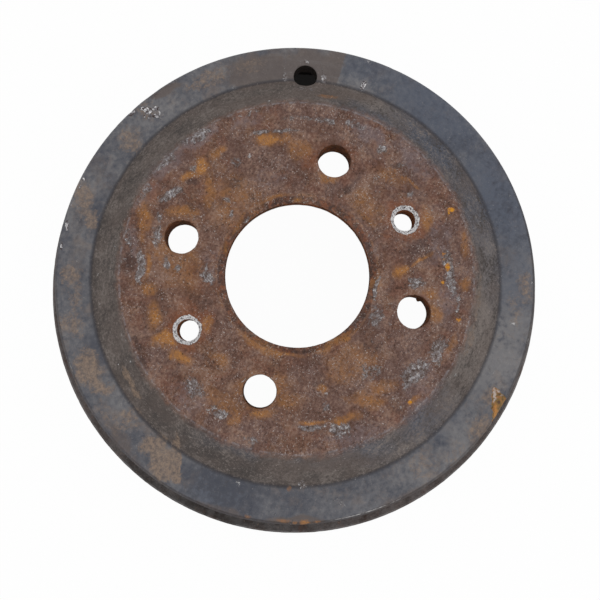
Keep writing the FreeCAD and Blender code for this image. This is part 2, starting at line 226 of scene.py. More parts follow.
SCRAPES = (
    (-62.5, 3.5, 1.6, 6.5, 0, 1.0), (-51, 32.5, 5, 2, 20, 0.9), (-55, 23.5, 1.8, 1.8, 0, 0.7),
    (-56.5, 15.5, 2, 5.5, 0, 0.5), (-52, 4, 1.6, 2, 0, 0.7), (-36, 0, 2, 4, 20, 0.6),
    (-26.5, 25, 1, 2, 0, 0.6), (-29, 30, 1.2, 1.2, 0, 0.6), (-42.5, 43.5, 2.4, 1.6, 20, 0.6),
    (-14.5, 58.5, 3.2, 1.2, 10, 0.7), (-5, 59, 6.5, 0.8, 0, 0.65), (-41.5, -45, 4.4, 3.6, -30, 0.6),
    (-30.5, -55, 3.6, 2.4, -30, 0.75), (46, -40, 7, 3.6, 38, 1.0), (55.5, -30.5, 6, 3.2, 48, 0.7),
    (5.5, -60.5, 5, 1.2, 0, 0.9), (16.5, -61, 3.6, 3.2, 0, 0.6), (31, -17, 2.4, 5.2, 0, 0.5),
    (61.5, 1, 2.4, 9.5, 8, 0.65), (34, 51.5, 2, 2.4, 0, 0.7), (48, -3.5, 4, 2, 0, 0.6),
    (32, -6, 0.8, 5.2, -12, 0.9), (11.5, 63.5, 4, 1.6, 0, 0.6), (46.5, 32.5, 1.6, 1.2, 0, 0.6),
    (11, -52.5, 2.4, 2, 0, 0.6), (28.5, -40, 5.5, 3.6, 30, 0.45), (21, -20.5, 5, 2.4, 30, 0.4),
    (41.5, 44.5, 3.2, 1.2, 0, 0.4), (-47, 1.5, 2, 2, 0, 0.5), (-18.5, -65.5, 4, 1.6, 0, 0.4),
    (-25, 45, 2, 2.4, 0, 0.45), (-20, 66, 7, 1.2, 17, 0.4), (-41, 56.5, 7, 2.2, 36, 0.62),
    (-53, 45.5, 6, 2.2, 50, 0.62), (-62.5, 32, 5, 1.6, 63, 0.5), (-67.5, 14, 1.2, 7, 8, 0.42),
    (64, -12, 1.4, 5, -10, 0.5), (2, -84.3, 1.6, 1.6, 0, 0.55), (1, 64.5, 7, 1.4, 0, 0.45),
    (24, 62, 5, 1.6, -22, 0.4), (-20.5, 22, 0.7, 4, -42, 0.5), (-4.2, 86.5, 1.3, 3, 0, 0.36),
    (11.4, 86.5, 1.4, 3.5, 0, 0.38), (4, 79.4, 4.5, 1.3, 0, 0.36), (3.5, 93.6, 4, 0.9, 0, 0.34),
)
DARK_STAINS = (
    (-42.5, 37.5, 2.4, 1.4, 0, 0.8), (-43, 26.5, 1.6, 1.2, 0, 0.5), (-25, 37, 2.8, 2.4, 0, 0.6),
    (-18.5, 31.5, 1.6, 1.6, 0, 0.5), (20.5, 34.5, 2, 2, 0, 0.8), (39.5, 44.5, 1.6, 1.2, 0, 0.7),
    (-67.5, 5, 3.2, 3.2, 0, 0.8), (-63.5, -27.5, 1.2, 3.6, 25, 1.0), (-60.5, -34.5, 1.2, 3.2, 25, 0.9),
    (49.5, 10.5, 4, 5, 0, 0.5), (-41.5, -59, 2.8, 1.6, -30, 0.7), (29.5, -29.5, 5, 3.6, 0, 0.4),
    (1, 24.5, 6.5, 1.2, 0, 0.3), (46.5, -10.5, 3.6, 1.6, 0, 0.4), (8, -43.5, 2.8, 2, 0, 0.4),
    (38.5, -52, 4, 3.2, 0, 0.4), (-33, 20, 2, 1.6, 0, 0.4), (-37, -11, 2.4, 3.2, 0, 0.35),
    (-61.5, 78.6, 3, 1.2, 38, 0.7), (-54, 83.2, 7, 1.3, 33, 0.32),
)
TAN_DUST = (
    (-57.5, -69, 6, 4.5, -40, 1.0), (-52.5, -76.5, 5.5, 6, -60, 1.0), (-48.7, -73.6, 1.6, 9.5, 0, 1.0),
    (-85.5, -38, 8.5, 6, -60, 0.75), (-80.5, -45.5, 5, 4, -40, 0.7), (-89, 32.5, 4, 9, 15, 0.6),
    (-85.5, 25, 3, 4, 0, 0.6), (-71.5, 58.5, 6, 5, 45, 0.5), (-38.5, 85.5, 10, 4, 25, 0.45),
    (-93, 1.5, 4.5, 4, 0, 0.55), (-93, -19.5, 5, 6.5, 0, 0.5), (51, -77.5, 6, 6.5, 30, 0.34),
    (91, -14.5, 4, 7.5, 0, 0.35), (95.5, -2.5, 4, 7.5, 0, 0.45), (76, -62.5, 6.5, 7, 45, 0.5),
    (63.5, -74, 6.5, 5, 40, 0.3), (-68, -58.5, 4, 5, -40, 0.45), (-20, 91.5, 7.5, 4, 10, 0.25),
    (-68, -41, 1.6, 5, 30, 0.85), (-64.5, -47, 1.4, 3, 40, 0.85), (-91, -8, 4, 8, 0, 0.4),
    (-76, -58, 9, 4, -50, 0.28), (-64, 71, 5, 4, 40, 0.4), (79, -49, 2.5, 5, -20, 0.45),
    (73.2, -10, 1.2, 16, -8, 0.4), (70, -25, 1.4, 9, -20, 0.45),
)
RUST_FILM = (
    (-15, 89, 17, 9, 8, 0.9), (6, 91, 13, 9, 0, 1.0), (-55.5, 80.5, 7.5, 1.7, 28, 1.0),
    (-71.5, -66.5, 14, 3.5, -50, 0.55), (-1.5, -98.5, 12, 2, 0, 0.9), (-91, 11.5, 4, 25, 0, 0.35),
    (-82.5, 45.5, 5, 12.5, 30, 0.35), (89, 7.5, 4, 8.5, 0, 0.3), (81, 73, 4, 8.5, -45, 0.2),
    (14, 76.5, 20.5, 4, 0, 0.8), (-17.5, 72.5, 16.5, 4, 12, 0.65), (-56.5, 48.5, 12.5, 5, 48, 0.45),
    (-64, 2.5, 3, 24.5, 0, 0.55), (-51, -46, 4, 16.5, 40, 0.45), (13, -74.5, 24.5, 4, 5, 0.7),
    (57.5, -50.5, 16.5, 4, 48, 0.5), (74, -10, 3, 20.5, 0, 0.15), (42, -90, 14, 2, 25, 0.5),
    (76, -64, 9, 5, 45, 0.5), (-30, -94, 14, 1.6, -18, 0.5),
)
SLATE_ZONES = (
    (-31, -87, 18, 11, -20, 1.0), (38, 87, 16, 8, -22, 0.8), (-2, -90, 12, 6, 0, 0.6),
    (61.5, 66, 20, 11, -42, 0.85), (82.5, 37.5, 20, 10, -62, 0.45), (-83, 16, 2, 21, 0, 0.7),
    (-62, 54.5, 12.5, 2.5, 48, 0.6), (-77.5, 37, 2.5, 12.5, 20, 0.6), (-26.5, 86.5, 21, 2, 16, 0.5),
    (-98.5, 15.5, 2.5, 12.5, 0, 0.3), (-78.5, -28, 2, 12.5, -20, 0.6), (-30, -72, 22, 6, -22, 0.8),
    (-61, -48, 16, 5, -52, 0.7), (20, -82, 14, 3, 12, 0.45), (-72, -8, 4, 16, 0, 0.35),
    (-84, -28, 3, 10, -20, 0.6), (54, 56, 18, 5, -45, 0.6), (-72, -68, 12, 8, -42, 0.5),
    (24, -92, 18, 7, 14, 0.4), (61.5, 66, 24, 12, -42, 0.5), (-82, -52, 14, 9, -52, 0.35),
)
PALE_ZONES = (
    (84.5, -30, 9, 21, -18, 0.8), (71, -67, 12.5, 12.5, 45, 0.5), (42, -87, 25, 6, 18, 0.4),
    (17.5, -92.5, 12.5, 6, 5, 0.3), (-93, 28, 5, 16, 18, 0.5), (73, -22, 5, 24, -16, 1.0),
    (57, -53, 16, 6, 45, 0.7), (21, -74, 20.5, 4.5, 12, 0.4), (46, -76.5, 5, 1.6, 35, 0.8),
    (51, -82, 4, 2.5, 60, 0.6), (18.6, 88.4, 7, 0.45, 74, 0.95), (76, 14, 4, 10, 10, 0.4),
    (-80, -52, 12, 8, -55, 0.3), (-64, 72, 10, 6, 45, 0.3), (77, -6, 3.5, 20, -6, 1.0),
    (66, -39, 5, 14, -32, 0.7), (78, 14, 4, 14, 8, 0.9), (38, 71, 14, 4, -28, 1.0),
    (92, 2, 8, 17, 0, 0.45),
)
WARM_ZONES = (
    (-45, 5.5, 24, 32, 0, 0.6), (-26.5, -34, 24, 18, 0, 0.5), (1, 55.5, 24, 12, 0, 0.35),
    (-23, 38.5, 20, 16, 0, 0.35), (1, -50, 24, 12, 0, 0.35), (37, -10.5, 16, 20, 0, 0.2),
    (21, -34.5, 16, 16, 0, 0.3),
)
COOL_ZONES = (
    (30, 60, 16, 10, -25, 1.0), (54.5, 34.5, 12, 16, 0, 0.9), (57.5, 2, 9, 16, 0, 0.6),
    (48.5, -54, 14, 12, 0, 0.9), (16.5, -69.5, 24, 6.5, 0, 0.7), (-18.5, -67, 20, 5.5, -10, 0.5),
    (-55.5, 42.5, 8, 5.5, 45, 0.4), (29.5, 12, 7, 10, 0, 0.35), (-9, 40.5, 12, 7, 0, 0.4),
    (41, -26.5, 10.5, 8, 0, 0.3), (58, 72, 26, 12, -40, 0.95), (86, 34, 12, 28, 22, 1.0),
    (91, 2, 10, 16, 0, 0.65), (56, 56, 22, 7, -45, 0.9), (72, 28, 7, 20, 20, 0.8),
    (30, 90, 12, 8, -18, 0.5), (97, 18, 9, 14, 10, 0.7),
    (70, 40, 5, 14, 30, 0.7), (78, 6, 4, 18, 4, 0.42),
)
# Knocks that bare the metal: the two in the ring, then nicks along its edge and small flecks.
KNOCKS = (
    (-62.6, 71.8, 1.6, 1.4, 30, 1.0), (-60.2, 68.6, 1.2, 1.0, 0, 0.9), (-64.9, 69.0, 1.0, 0.9, 0, 0.8),
    (-59.8, 72.6, 0.9, 0.8, 0, 0.8), (-65.6, 72.2, 0.8, 1.0, 0, 0.7), (-62.4, 68.0, 1.0, 0.7, 0, 0.8),
    (-58.3, 70.6, 0.7, 0.9, 0, 0.7), (28.0, 82.9, 1.1, 2.2, -12, 1.0), (-89.3, 41.3, 1.5, 0.4, -30, 0.8),
    (-90.9, 38.3, 0.6, 0.7, 0, 0.7), (-95.8, 21.6, 0.5, 2.1, 0, 1.0), (-97.5, 12.4, 0.4, 2.5, 0, 0.8),
    (-94.4, 30.6, 0.5, 0.6, 0, 0.8), (-69.9, 70.7, 2.1, 0.8, 45, 0.9), (-87.4, -8.5, 0.8, 0.3, 0, 0.7),
    (76.6, 45.5, 0.5, 0.3, 0, 0.7), (-72.6, -35.6, 0.5, 0.4, 0, 0.8),
    (39.9, -65.4, 0.4, 0.5, 0, 0.7), (61.9, 46.8, 0.4, 0.7, 0, 0.5), (68.1, 42.1, 0.7, 0.4, 0, 0.5),
)
CHIP_OUTLINE = (
    (80.6, -46.6), (80.3, -53.0), (80.4, -62.0), (92.0, -56.0), (86.3, -50.2), (83.4, -46.8), (81.8, -44.9),
)
# Pale facets of the chip, and a painted highlight along the ring's edge, partly worn metal.
CHIP_FACETS = ((81.5, -48.6, 0.65, 3.4, 3, 0.9), (83.4, -47.6, 0.4, 2.2, 42, 0.8))
PAINTED_EDGE_HIGHLIGHT = ((30, -95.0, 13, 4, 17, 1.0), (-93, -37, 2, 8, -22, 0.4))
# Painted shade in the cavity's corner, and a darker wall: at the bottom left and round the access hole.
SHADE_AND_DARK_SIDE = ((-40, -98, 54, 30, 0, 1.0), (1, 92, 26, 20, 0, 1.0))
# Where the chamfer at the ring's edge is darkened: the bottom and both sides.
EDGE_DARKENING = ((0, -85, 100, 42, 0, 1.0), (98, -15, 22, 62, 0, 1.0), (-92, -30, 22, 45, 0, 0.8))
LILAC_SCALE = (
    (-40, 56, 9, 3.4, 36, 0.9), (-52, 45, 8, 3.4, 50, 0.9), (-61, 31, 7, 2.4, 64, 0.7),
    (-66, 12, 2.0, 9, 6, 0.5), (-20, 63, 9, 2.4, 16, 0.5), (30, 58, 9, 3.4, -28, 0.75),
    (47, 47, 10, 5, -45, 0.6), (48, -43, 9, 5, 42, 0.5), (50, -52, 8, 5, 40, 0.5),
    (22, -64, 12, 3.0, 16, 0.5), (-44, -48, 5, 7, 30, 0.45), (57, 14, 5, 9, 0, 0.45),
    (60, -10, 4, 8, -10, 0.45), (30, 10, 5, 8, 0, 0.3), (-12, 38, 9, 5, 0, 0.32),
    (-34, 4, 5, 8, 0, 0.3),
)
# Straight edges of stains: field, a point of the edge, its lean from upright, half length, width, strength.
STRAIGHT_EDGES = (
    ("film", (19.4, 90.6), -16.8, 9.0, 9.0, 0.75), ("tan", (-47.0, -73.6), -0.9, 10.5, 4.0, 1.0),
)
# Burrs in the walls of holes: right, up, level above the hub seat, reach, height.
BURRS = ((49.9, -9.5, 1.3, 1.5, 1.1), (-37.2, 10.2, 4.0, 1.6, 0.3), (15.8, 41.6, 3.0, 1.8, 0.25))
PATCHES = {
    "ochre": OCHRE_RUST,
    "facet": CHIP_FACETS,
    "gleam": PAINTED_EDGE_HIGHLIGHT,
    "grime": EDGE_DARKENING,
    "sooty": SHADE_AND_DARK_SIDE,
    "lilac": LILAC_SCALE,
    "haze": RED_HAZE,
    "yellow": YELLOW_SPOTS,
    "scrape": SCRAPES,
    "stain": DARK_STAINS,
    "tan": TAN_DUST,
    "film": RUST_FILM,
    "slate": SLATE_ZONES,
    "pale": PALE_ZONES,
    "warm": WARM_ZONES,
    "cool": COOL_ZONES,
    "knock": KNOCKS,
}


# Mesh fineness: points round the walls and holes, and distance between points of the fields.
AROUND = 540
AROUND_BORE = 240
AROUND_BOLT_HOLE = 64
AROUND_SCREW_HOLE = 56
AROUND_ACCESS_HOLE = 56
FINE = 0.70
MEDIUM = 0.84
COARSE = 1.0
AT_EDGE = 0.8
HIDDEN = 1.75
HIDDEN_EDGE = 1.2
HOLE_STEPS = 7

# Height of a triangle with sides of 1, and the room that a field leaves outside a hole's last collar.
ROW_SHARE = 0.87
COLLAR_ROOM = 0.35

# Collars of points round holes: outwards from a plain hole besides its worn edge, outwards from a
# screw hole on its countersink, and outwards from the countersink's rim.
EDGE_COLLARS = (0.06, 0.2)
OUTER_COLLAR = 1.0
CONE_COLLARS = (0.35, 0.75)
RIM_COLLARS = (-0.15, 0.15, 0.6)
BACK_COLLAR = 0.4

# The square map: share that each block fills, and the place of its middle or corner.
FRONT_MAP = (0.66, (0.34, 0.34))
BACK_MAP = (0.30, (0.84, 0.16))
WALL_MAP = ((0.001, 0.70), (0.998, 0.15))
BORE_MAP = ((0.001, 0.87), (0.5, 0.03))
HOLE_MAP = ((0.001, 0.92), (0.12, 0.03))
HOLE_MAP_STEP = 0.14

# Sizes of the lumps of relief in millimetres.
DRIFT_LUMPS = 7.0
BROAD_LUMPS = 13.0
PLATE_LUMPS = 3.6
GRIT_LUMPS = 1.9
BREAK_LUMPS = 2.2

# How far noise shifts the stains' outlines and the relief, in millimetres.
STAIN_DRIFT = 2.6
RELIEF_DRIFT = 1.6

# A stain fades between these shares of its half length, and a straight edge works this far from it.
STAIN_FADE = (0.35, 1.55)
STRAIGHT_EDGE_REACH = 12

# Rust pits: distances from the axis, radii and depths that they lie between.
PITTED = (33.0, 70.0)
PIT_SIZES = (0.5, 1.35)
PIT_DEPTHS = (0.35, 1.0)

# Distances within which two points count as one, and slopes of the lattice noise.
TINY = 1e-6
TOUCHING = 1e-7
SLOPES = 256
NOISE_GAIN = 1.6

# Edges between faces that meet at more than this angle look sharp.
SHARP_DEGREES = 38

# Which part of the casting a point or face belongs to; faces wear the material with this number.
FACE, WALL, BACK, TRACK, HOLE = range(5)


def lattice_noise(points, size, seed):
    """Smooth noise, about -1 to 1, with lumps of the given size."""
    random = np.random.default_rng(seed)
    order = random.permutation(SLOPES)
    slopes = random.normal(size=(SLOPES, 3))
    slopes /= np.linalg.norm(slopes, axis=1)[:, None]
    scaled = points / size
    cell = np.floor(scaled).astype(np.int64)
    inside = scaled - cell
    fade = inside ** 3 * (inside * (inside * 6 - 15) + 10)
    total = np.zeros(len(points))
    for corner in itertools.product((0, 1), repeat=3):
        at = (cell + corner) % SLOPES
        chosen = order[(order[(order[at[:, 0]] + at[:, 1]) % SLOPES] + at[:, 2]) % SLOPES]
        weight = np.where(corner, fade, 1 - fade).prod(axis=1)
        total += weight * ((inside - corner) * slopes[chosen]).sum(axis=1)
    return total * NOISE_GAIN


def layered_noise(points, size, seed, layers=3):
    """Noise with finer and weaker layers on top."""
    total = np.zeros(len(points))
    for layer in range(layers):
        total += lattice_noise(points, size / 2 ** layer, seed + layer) / 2 ** layer
    return total


def ease(values, start, end):
    """0 before start, 1 after end, smooth between."""
    share = np.clip((values - start) / (end - start), 0, 1)
    return share * share * (3 - 2 * share)


def turned(points, degrees):
    """Points turned round the axis, as (right, up) pairs."""
    angle = math.radians(degrees)
    x, y = points[:, 0], points[:, 1]
    return np.stack([x * math.cos(angle) - y * math.sin(angle),
                     x * math.sin(angle) + y * math.cos(angle)], axis=1)


def distance(points, centre=(0, 0)):
    """How far points are from a centre, seen along the axis."""
    return np.hypot(points[:, 0] - centre[0], points[:, 1] - centre[1])


def circle(count, radius, centre=(0, 0), phase=0.0):
    """Points round a circle."""
    angles = (np.arange(count) + phase) * 2 * math.pi / count
    return np.stack([centre[0] + radius * np.cos(angles), centre[1] + radius * np.sin(angles)], axis=1)


def raised(places, level):
    """Flat places lifted to a level."""
    return np.column_stack([places, np.full(len(places), level)])


def on_bolt_circle(*degrees):
    """Centres on the bolt circle at the given angles."""
    return [(BOLT_CIRCLE_RADIUS * math.cos(turn), BOLT_CIRCLE_RADIUS * math.sin(turn))
            for turn in map(math.radians, degrees)]


def rounded(radius, reach, corners, levels):
    """The level along a line through corners, averaged over a reach so that its corners are round."""
    steps = np.linspace(-1, 1, 9)
    return sum(np.interp(radius + reach * step, corners, levels) for step in steps) / len(steps)


class Section:
    """The casting's section in millimetres: levels, distances from the axis, and holes."""

    edge_chamfer = 1.0
    lip_chamfer = 0.8
    root_fillet = 2.0
    mouth_chamfer = 1.6
    groove = 0.9
    groove_width = 4.0
    corner_bevel = 1.8
    crisp = 0.25
    soft = 0.75
    groove_radius = FRICTION_RADIUS + groove

    def __init__(self, sizes):
        self.face_radius = sizes.face_width / MM
        self.ring_level = WHEEL_FACE - sizes.ring_drop / MM
        self.plate_back = self.ring_level - sizes.plate / MM
        self.body_radius = FRICTION_RADIUS + sizes.wall / MM
        self.foot_radius = self.body_radius - sizes.ring_width / MM
        self.flange_underside = RIM + sizes.lip_height / MM
        self.flange_top = self.flange_underside + sizes.flange / MM
        self.lip_radius = self.body_radius + sizes.lip_reach / MM
        self.bevel_radius = BORE_RADIUS + sizes.bore_bevel / MM
        self.bevel_level = WHEEL_FACE - sizes.bore_bevel_depth / MM
        self.lead_in = sizes.bore_lead_in / MM
        self.countersink_radius = sizes.countersink / MM
        self.seat_radius = sizes.hub_seat / MM
        self.recess_foot = sizes.recess_foot / MM
        self.screw_holes = on_bolt_circle(-45, 135)
        self.holes = [(centre, BOLT_HOLE_RADIUS, AROUND_BOLT_HOLE)
                      for centre in on_bolt_circle(0, 90, 180, 270)]
        self.holes += [(centre, SCREW_HOLE_RADIUS, AROUND_SCREW_HOLE) for centre in self.screw_holes]
        self.holes.append((ACCESS_PLACE, ACCESS_RADIUS, AROUND_ACCESS_HOLE))

    def front(self, radius):
        """Level of the outboard side, with its corners rounded."""
        corners = (BORE_RADIUS, self.bevel_radius, self.face_radius, self.foot_radius,
                   self.body_radius - self.edge_chamfer, self.body_radius, self.body_radius + 1)
        levels = (self.bevel_level, WHEEL_FACE, WHEEL_FACE, self.ring_level, self.ring_level,
                  self.ring_level - self.edge_chamfer, self.ring_level - self.edge_chamfer - 1)
        near_edge = (radius < self.bevel_radius + 2) | (radius > self.body_radius - 2)
        level = rounded(radius, np.where(near_edge, self.crisp, self.soft), corners, levels)
        at_ends = (radius <= BORE_RADIUS + TINY) | (radius >= self.body_radius - TINY)
        return np.where(at_ends, np.interp(radius, corners, levels), level)

    def back(self, radius):
        """Level of the inboard side: hub seat, recess, plate and the bevel in the corner."""
        corners = (self.seat_radius, self.recess_foot, self.groove_radius - self.corner_bevel,
                   self.groove_radius)
        levels = (0, self.plate_back, self.plate_back, self.plate_back - self.corner_bevel)
        reach = np.where(radius > self.recess_foot + 3, 0.2, 1.0)
        level = rounded(radius, reach, corners, levels)
        return np.where(radius >= self.groove_radius - TINY, levels[-1], level)


class Shell:
    """Points, faces, materials and map places of the closed casting, gathered block by block."""

    def __init__(self):
        self.points = []
        self.kinds = []
        self.faces = []
        self.slots = []
        self.places = []
        self.count = 0

    def add_points(self, points, kind):
        """Add points and return their numbers."""
        numbers = np.arange(self.count, self.count + len(points))
        self.points.append(points)
        self.kinds.append(np.full(len(points), kind))
        self.count += len(points)
        return numbers

    def add_faces(self, faces, slot, places):
        """Add faces with equally many corners, each corner with its place on the map."""
        self.faces.extend(faces.tolist())
        self.slots.append(np.full(len(faces), slot))
        self.places.append(places.reshape(-1, 2))

    def add_field(self, points, triangles, level, slot, block, width):
        """Add a field of triangles seen from above, each point at its level. Returns its numbers."""
        numbers = self.add_points(np.column_stack([points, level]), slot)
        share, middle = block
        self.add_faces(numbers[triangles], slot, points[triangles] * (share / width) + middle)
        return numbers

    def add_band(self, rows, slot, corner, size, inward=False):
        """Join rows of points with quads that face out or in, laid out on the map over a size."""
        rows = np.array(rows)
        steps, around = rows.shape
        ahead = np.roll(rows, -1, axis=1)
        quads = np.stack([rows[:-1], rows[1:], ahead[1:], ahead[:-1]], axis=-1)
        across = np.arange(around + 1) / around * size[0] + corner[0]
        down = np.arange(steps) / (steps - 1) * size[1] + corner[1]
        left, level = np.meshgrid(across[:-1], down)
        right = np.meshgrid(across[1:], down)[0]
        corners = ((left[:-1], level[:-1]), (left[1:], level[1:]), (right[1:], level[1:]),
                   (right[:-1], level[:-1]))
        places = np.stack([np.stack(pair, axis=-1) for pair in corners], axis=-2)
        if inward:
            quads, places = quads[..., ::-1], places[..., ::-1, :]
        self.add_faces(quads.reshape(-1, 4), slot, places)


def rings(start, end, spacing):
    """Circles of points, evenly spaced, between two distances from the axis."""
    steps = max(1, round((end - start) / (spacing * ROW_SHARE)))
    made = []
    for step in range(steps):
        radius = start + (end - start) * (step + 0.5) / steps
        made.append(circle(round(2 * math.pi * radius / spacing), radius, phase=0.5 * (step % 2)))
    return made


def lay_field(outer, inner, fill, holes):
    """Triangles between an outer and an inner loop, round the holes.

    Each hole is its centre, its loop of points and the radii of the collars of points round it.
    Returns the points, the triangles and the loops' numbers: outer, inner, then one for each hole.
    """
    kept = np.concatenate(fill)
    extra = []
    for centre, loop, collars in holes:
        kept = kept[distance(kept, centre) > collars[-1] + COLLAR_ROOM]
        for number, radius in enumerate(collars):
            extra.append(circle(len(loop), radius, centre, phase=0.5 * ((number + 1) % 2)))
    blocks = [outer, inner] + [loop for centre, loop, collars in holes]
    starts = np.cumsum([0] + [len(block) for block in blocks])
    loops = [np.arange(start, end) for start, end in zip(starts, starts[1:])]
    points = np.concatenate(blocks + extra + [kept])
    edges = [(int(a), int(b)) for loop in loops for a, b in zip(loop, np.roll(loop, -1))]
    made = geometry.delaunay_2d_cdt([Vector(point) for point in points], edges, [], 0, TOUCHING)
    if len(made[0]) != len(points):
        raise RuntimeError("the field's points ran together")
    triangles = np.array(made[2])
    middle = points[triangles].mean(axis=1)
    outside = np.ones(len(triangles), bool)
    for centre, loop in [((0, 0), inner)] + [hole[:2] for hole in holes]:
        radius = distance(loop[:1], centre)[0]
        outside &= distance(middle, centre) > radius * math.cos(math.pi / len(loop))
    return points, triangles[outside], loops


def hole_edges(points, section, level, worn):
    """The level with the holes' worn edges and the countersinks taken off."""
    for centre, radius, _ in section.holes:
        gap = distance(points, centre)
        if centre in section.screw_holes:
            level = level - np.clip(section.countersink_radius - gap, 0, None)
        else:
            short = np.clip(worn - (gap - radius), 0, worn)
            level = level - (worn - np.sqrt(worn * worn - short * short))
    return level


def front_field(shell, section, worn):
    """The outboard side: wheel face, shoulder and ring, with all holes. Returns its loops."""
    body, rim = section.body_radius, section.countersink_radius
    fill = (rings(BORE_RADIUS + 0.3, section.face_radius, FINE)
            + rings(section.face_radius, section.foot_radius + 1.5, MEDIUM)
            + rings(section.foot_radius + 1.5, body - 1.2, COARSE)
            + rings(body - 1.2, body - 0.15, AT_EDGE)
            + [circle(AROUND, body - 0.15, phase=0.5)])
    holes = []
    for centre, radius, around in section.holes:
        collars = [radius + out for out in (*EDGE_COLLARS, worn, OUTER_COLLAR)]
        if centre in section.screw_holes:
            collars = [radius + out for out in CONE_COLLARS] + [rim + out for out in RIM_COLLARS]
        holes.append((centre, circle(around, radius, centre), collars))
    points, triangles, loops = lay_field(
        circle(AROUND, body), circle(AROUND_BORE, BORE_RADIUS), fill, holes)
    level = hole_edges(points, section, section.front(distance(points)), worn)
    numbers = shell.add_field(points, triangles, level, FACE, FRONT_MAP, 2 * body)
    return [numbers[loop] for loop in loops]


def back_field(shell, section):
    """The inboard side of the web and plate. Returns its loops."""
    fill = (rings(BORE_RADIUS + section.lead_in + 0.3, section.groove_radius - 2.2, HIDDEN)
            + rings(section.groove_radius - 2.2, section.groove_radius - 0.2, HIDDEN_EDGE))
    holes = [(centre, circle(around, radius, centre), [radius + BACK_COLLAR])
             for centre, radius, around in section.holes]
    points, triangles, loops = lay_field(
        circle(AROUND, section.groove_radius), circle(AROUND_BORE, BORE_RADIUS + section.lead_in),
        fill, holes)
    level = section.back(distance(points))
    numbers = shell.add_field(
        points, triangles[:, ::-1], level, BACK, BACK_MAP, 2 * section.groove_radius)
    return [numbers[loop] for loop in loops]


def wall_stations(section):
    """Corners of the outside and the friction side, as (radius, level, steps to the next, kind)."""
    s = section
    root = [(s.body_radius + s.root_fillet * (1 - math.cos(turn)),
             s.flange_top + s.root_fillet * (1 - math.sin(turn)), 1, WALL)
            for turn in map(math.radians, (0, 30, 60))]
    return [
        (s.body_radius, s.ring_level - s.edge_chamfer, 17, WALL), *root,
        (s.body_radius + s.root_fillet, s.flange_top, 5, WALL),
        (FLANGE_RADIUS - s.edge_chamfer, s.flange_top, 2, WALL),
        (FLANGE_RADIUS, s.flange_top - s.edge_chamfer, 7, WALL),
        (FLANGE_RADIUS, s.flange_underside + s.edge_chamfer, 1, WALL),
        (FLANGE_RADIUS - s.edge_chamfer, s.flange_underside, 3, WALL),
        (s.lip_radius, s.flange_underside, 2, WALL),
        (s.lip_radius, RIM + s.lip_chamfer, 1, WALL),
        (s.lip_radius - s.lip_chamfer, RIM, 4, WALL),
        (FRICTION_RADIUS + s.mouth_chamfer, RIM, 1, TRACK),
        (FRICTION_RADIUS, RIM + s.mouth_chamfer, 9, TRACK),
        (FRICTION_RADIUS, s.plate_back - s.groove_width, 1, TRACK),
        (s.groove_radius, s.plate_back - s.groove_width + s.groove, 1, TRACK),
        (s.groove_radius, s.plate_back - s.corner_bevel, 0, BACK),
    ]


def wall_bands(shell, section, first, last):
    """The outside, flange, lip, rim and friction surface, from the ring's edge to the cavity's corner."""
    stations = wall_stations(section)
    run = sum(math.dist(a[:2], b[:2]) for a, b in zip(stations, stations[1:]))
    (left, top), (width, height) = WALL_MAP
    along = 0.0
    row = first
    for here, there in zip(stations, stations[1:]):
        rows = [row]
        for step in range(1, here[2] + 1):
            share = step / here[2]
            if there is stations[-1] and step == here[2]:
                rows.append(last)
                continue
            radius = here[0] + (there[0] - here[0]) * share
            level = here[1] + (there[1] - here[1]) * share
            rows.append(shell.add_points(raised(circle(AROUND, radius), level), here[3]))
        span = math.dist(here[:2], there[:2]) / run * height
        shell.add_band(rows, here[3], (left, top + along), (width, span))
        along += span
        row = rows[-1]


def hole_bands(shell, section, front, back):
    """Walls of the bore and of each hole, between the loops of the front and of the back."""
    bore_rows = [front[1]]
    for radius, level in ((BORE_RADIUS, section.bevel_level - 1.6), (BORE_RADIUS, section.lead_in),
                          (BORE_RADIUS + 0.3 * section.lead_in, 0.7 * section.lead_in),
                          (BORE_RADIUS + 0.7 * section.lead_in, 0.3 * section.lead_in)):
        bore_rows.append(shell.add_points(raised(circle(AROUND_BORE, radius), level), HOLE))
    shell.add_band(bore_rows + [back[1]], HOLE, *BORE_MAP, inward=True)
    points = np.concatenate(shell.points)
    (left, top), size = HOLE_MAP
    for number, (above, below) in enumerate(zip(front[2:], back[2:])):
        rows = [above]
        for step in range(1, HOLE_STEPS):
            between = points[above] + (points[below] - points[above]) * step / HOLE_STEPS
            rows.append(shell.add_points(between, HOLE))
        corner = (left + HOLE_MAP_STEP * number, top)
        shell.add_band(rows + [below], HOLE, corner, size, inward=True)


def patch_field(name, places, warped):
    """Strength of the named stains at each place; larger ones have the more wandering outlines."""
    field = np.zeros(len(places))
    for right, up, half_length, half_width, lean, strength in PATCHES[name]:
        slack = min(1.0, 0.25 + 0.15 * min(half_length, half_width))
        away = turned(places + (warped - places) * slack - (right, up), -lean)
        gap = np.hypot(away[:, 0] / half_length, away[:, 1] / half_width)
        field = np.maximum(field, strength * (1 - ease(gap, *STAIN_FADE)))
    return field


def straight_edges(fields, places, front):
    """Give stains that end at a straight line that edge: full on its left, clear on its right."""
    for name, middle, lean, half_length, width, strength in STRAIGHT_EDGES:
        away = turned(places - middle, -lean)
        along = 1 - ease(np.abs(away[:, 1]), half_length - 1, half_length)
        along *= np.abs(away[:, 0]) < STRAIGHT_EDGE_REACH
        filled = along * ease(away[:, 0], -width, -width * 0.6) * strength * front
        cleared = along * ease(away[:, 0], -0.25, 0.25)
        fields[name] = np.maximum(fields[name], filled) * (1 - cleared)


def stain_fields(points, places, kinds, drift, section):
    """The stains' strength at each point, by name; only the field of painted shade and the wall's dark side
    reaches past the outboard side.
    """
    front = kinds == FACE
    warped = places + STAIN_DRIFT * drift
    fields = {}
    for name in PATCHES:
        worn = front | (name == "sooty")
        fields[name] = np.zeros(len(points))
        fields[name][worn] = patch_field(name, places[worn], warped[worn])
    straight_edges(fields, places, front & (distance(points) > section.foot_radius))
    return fields


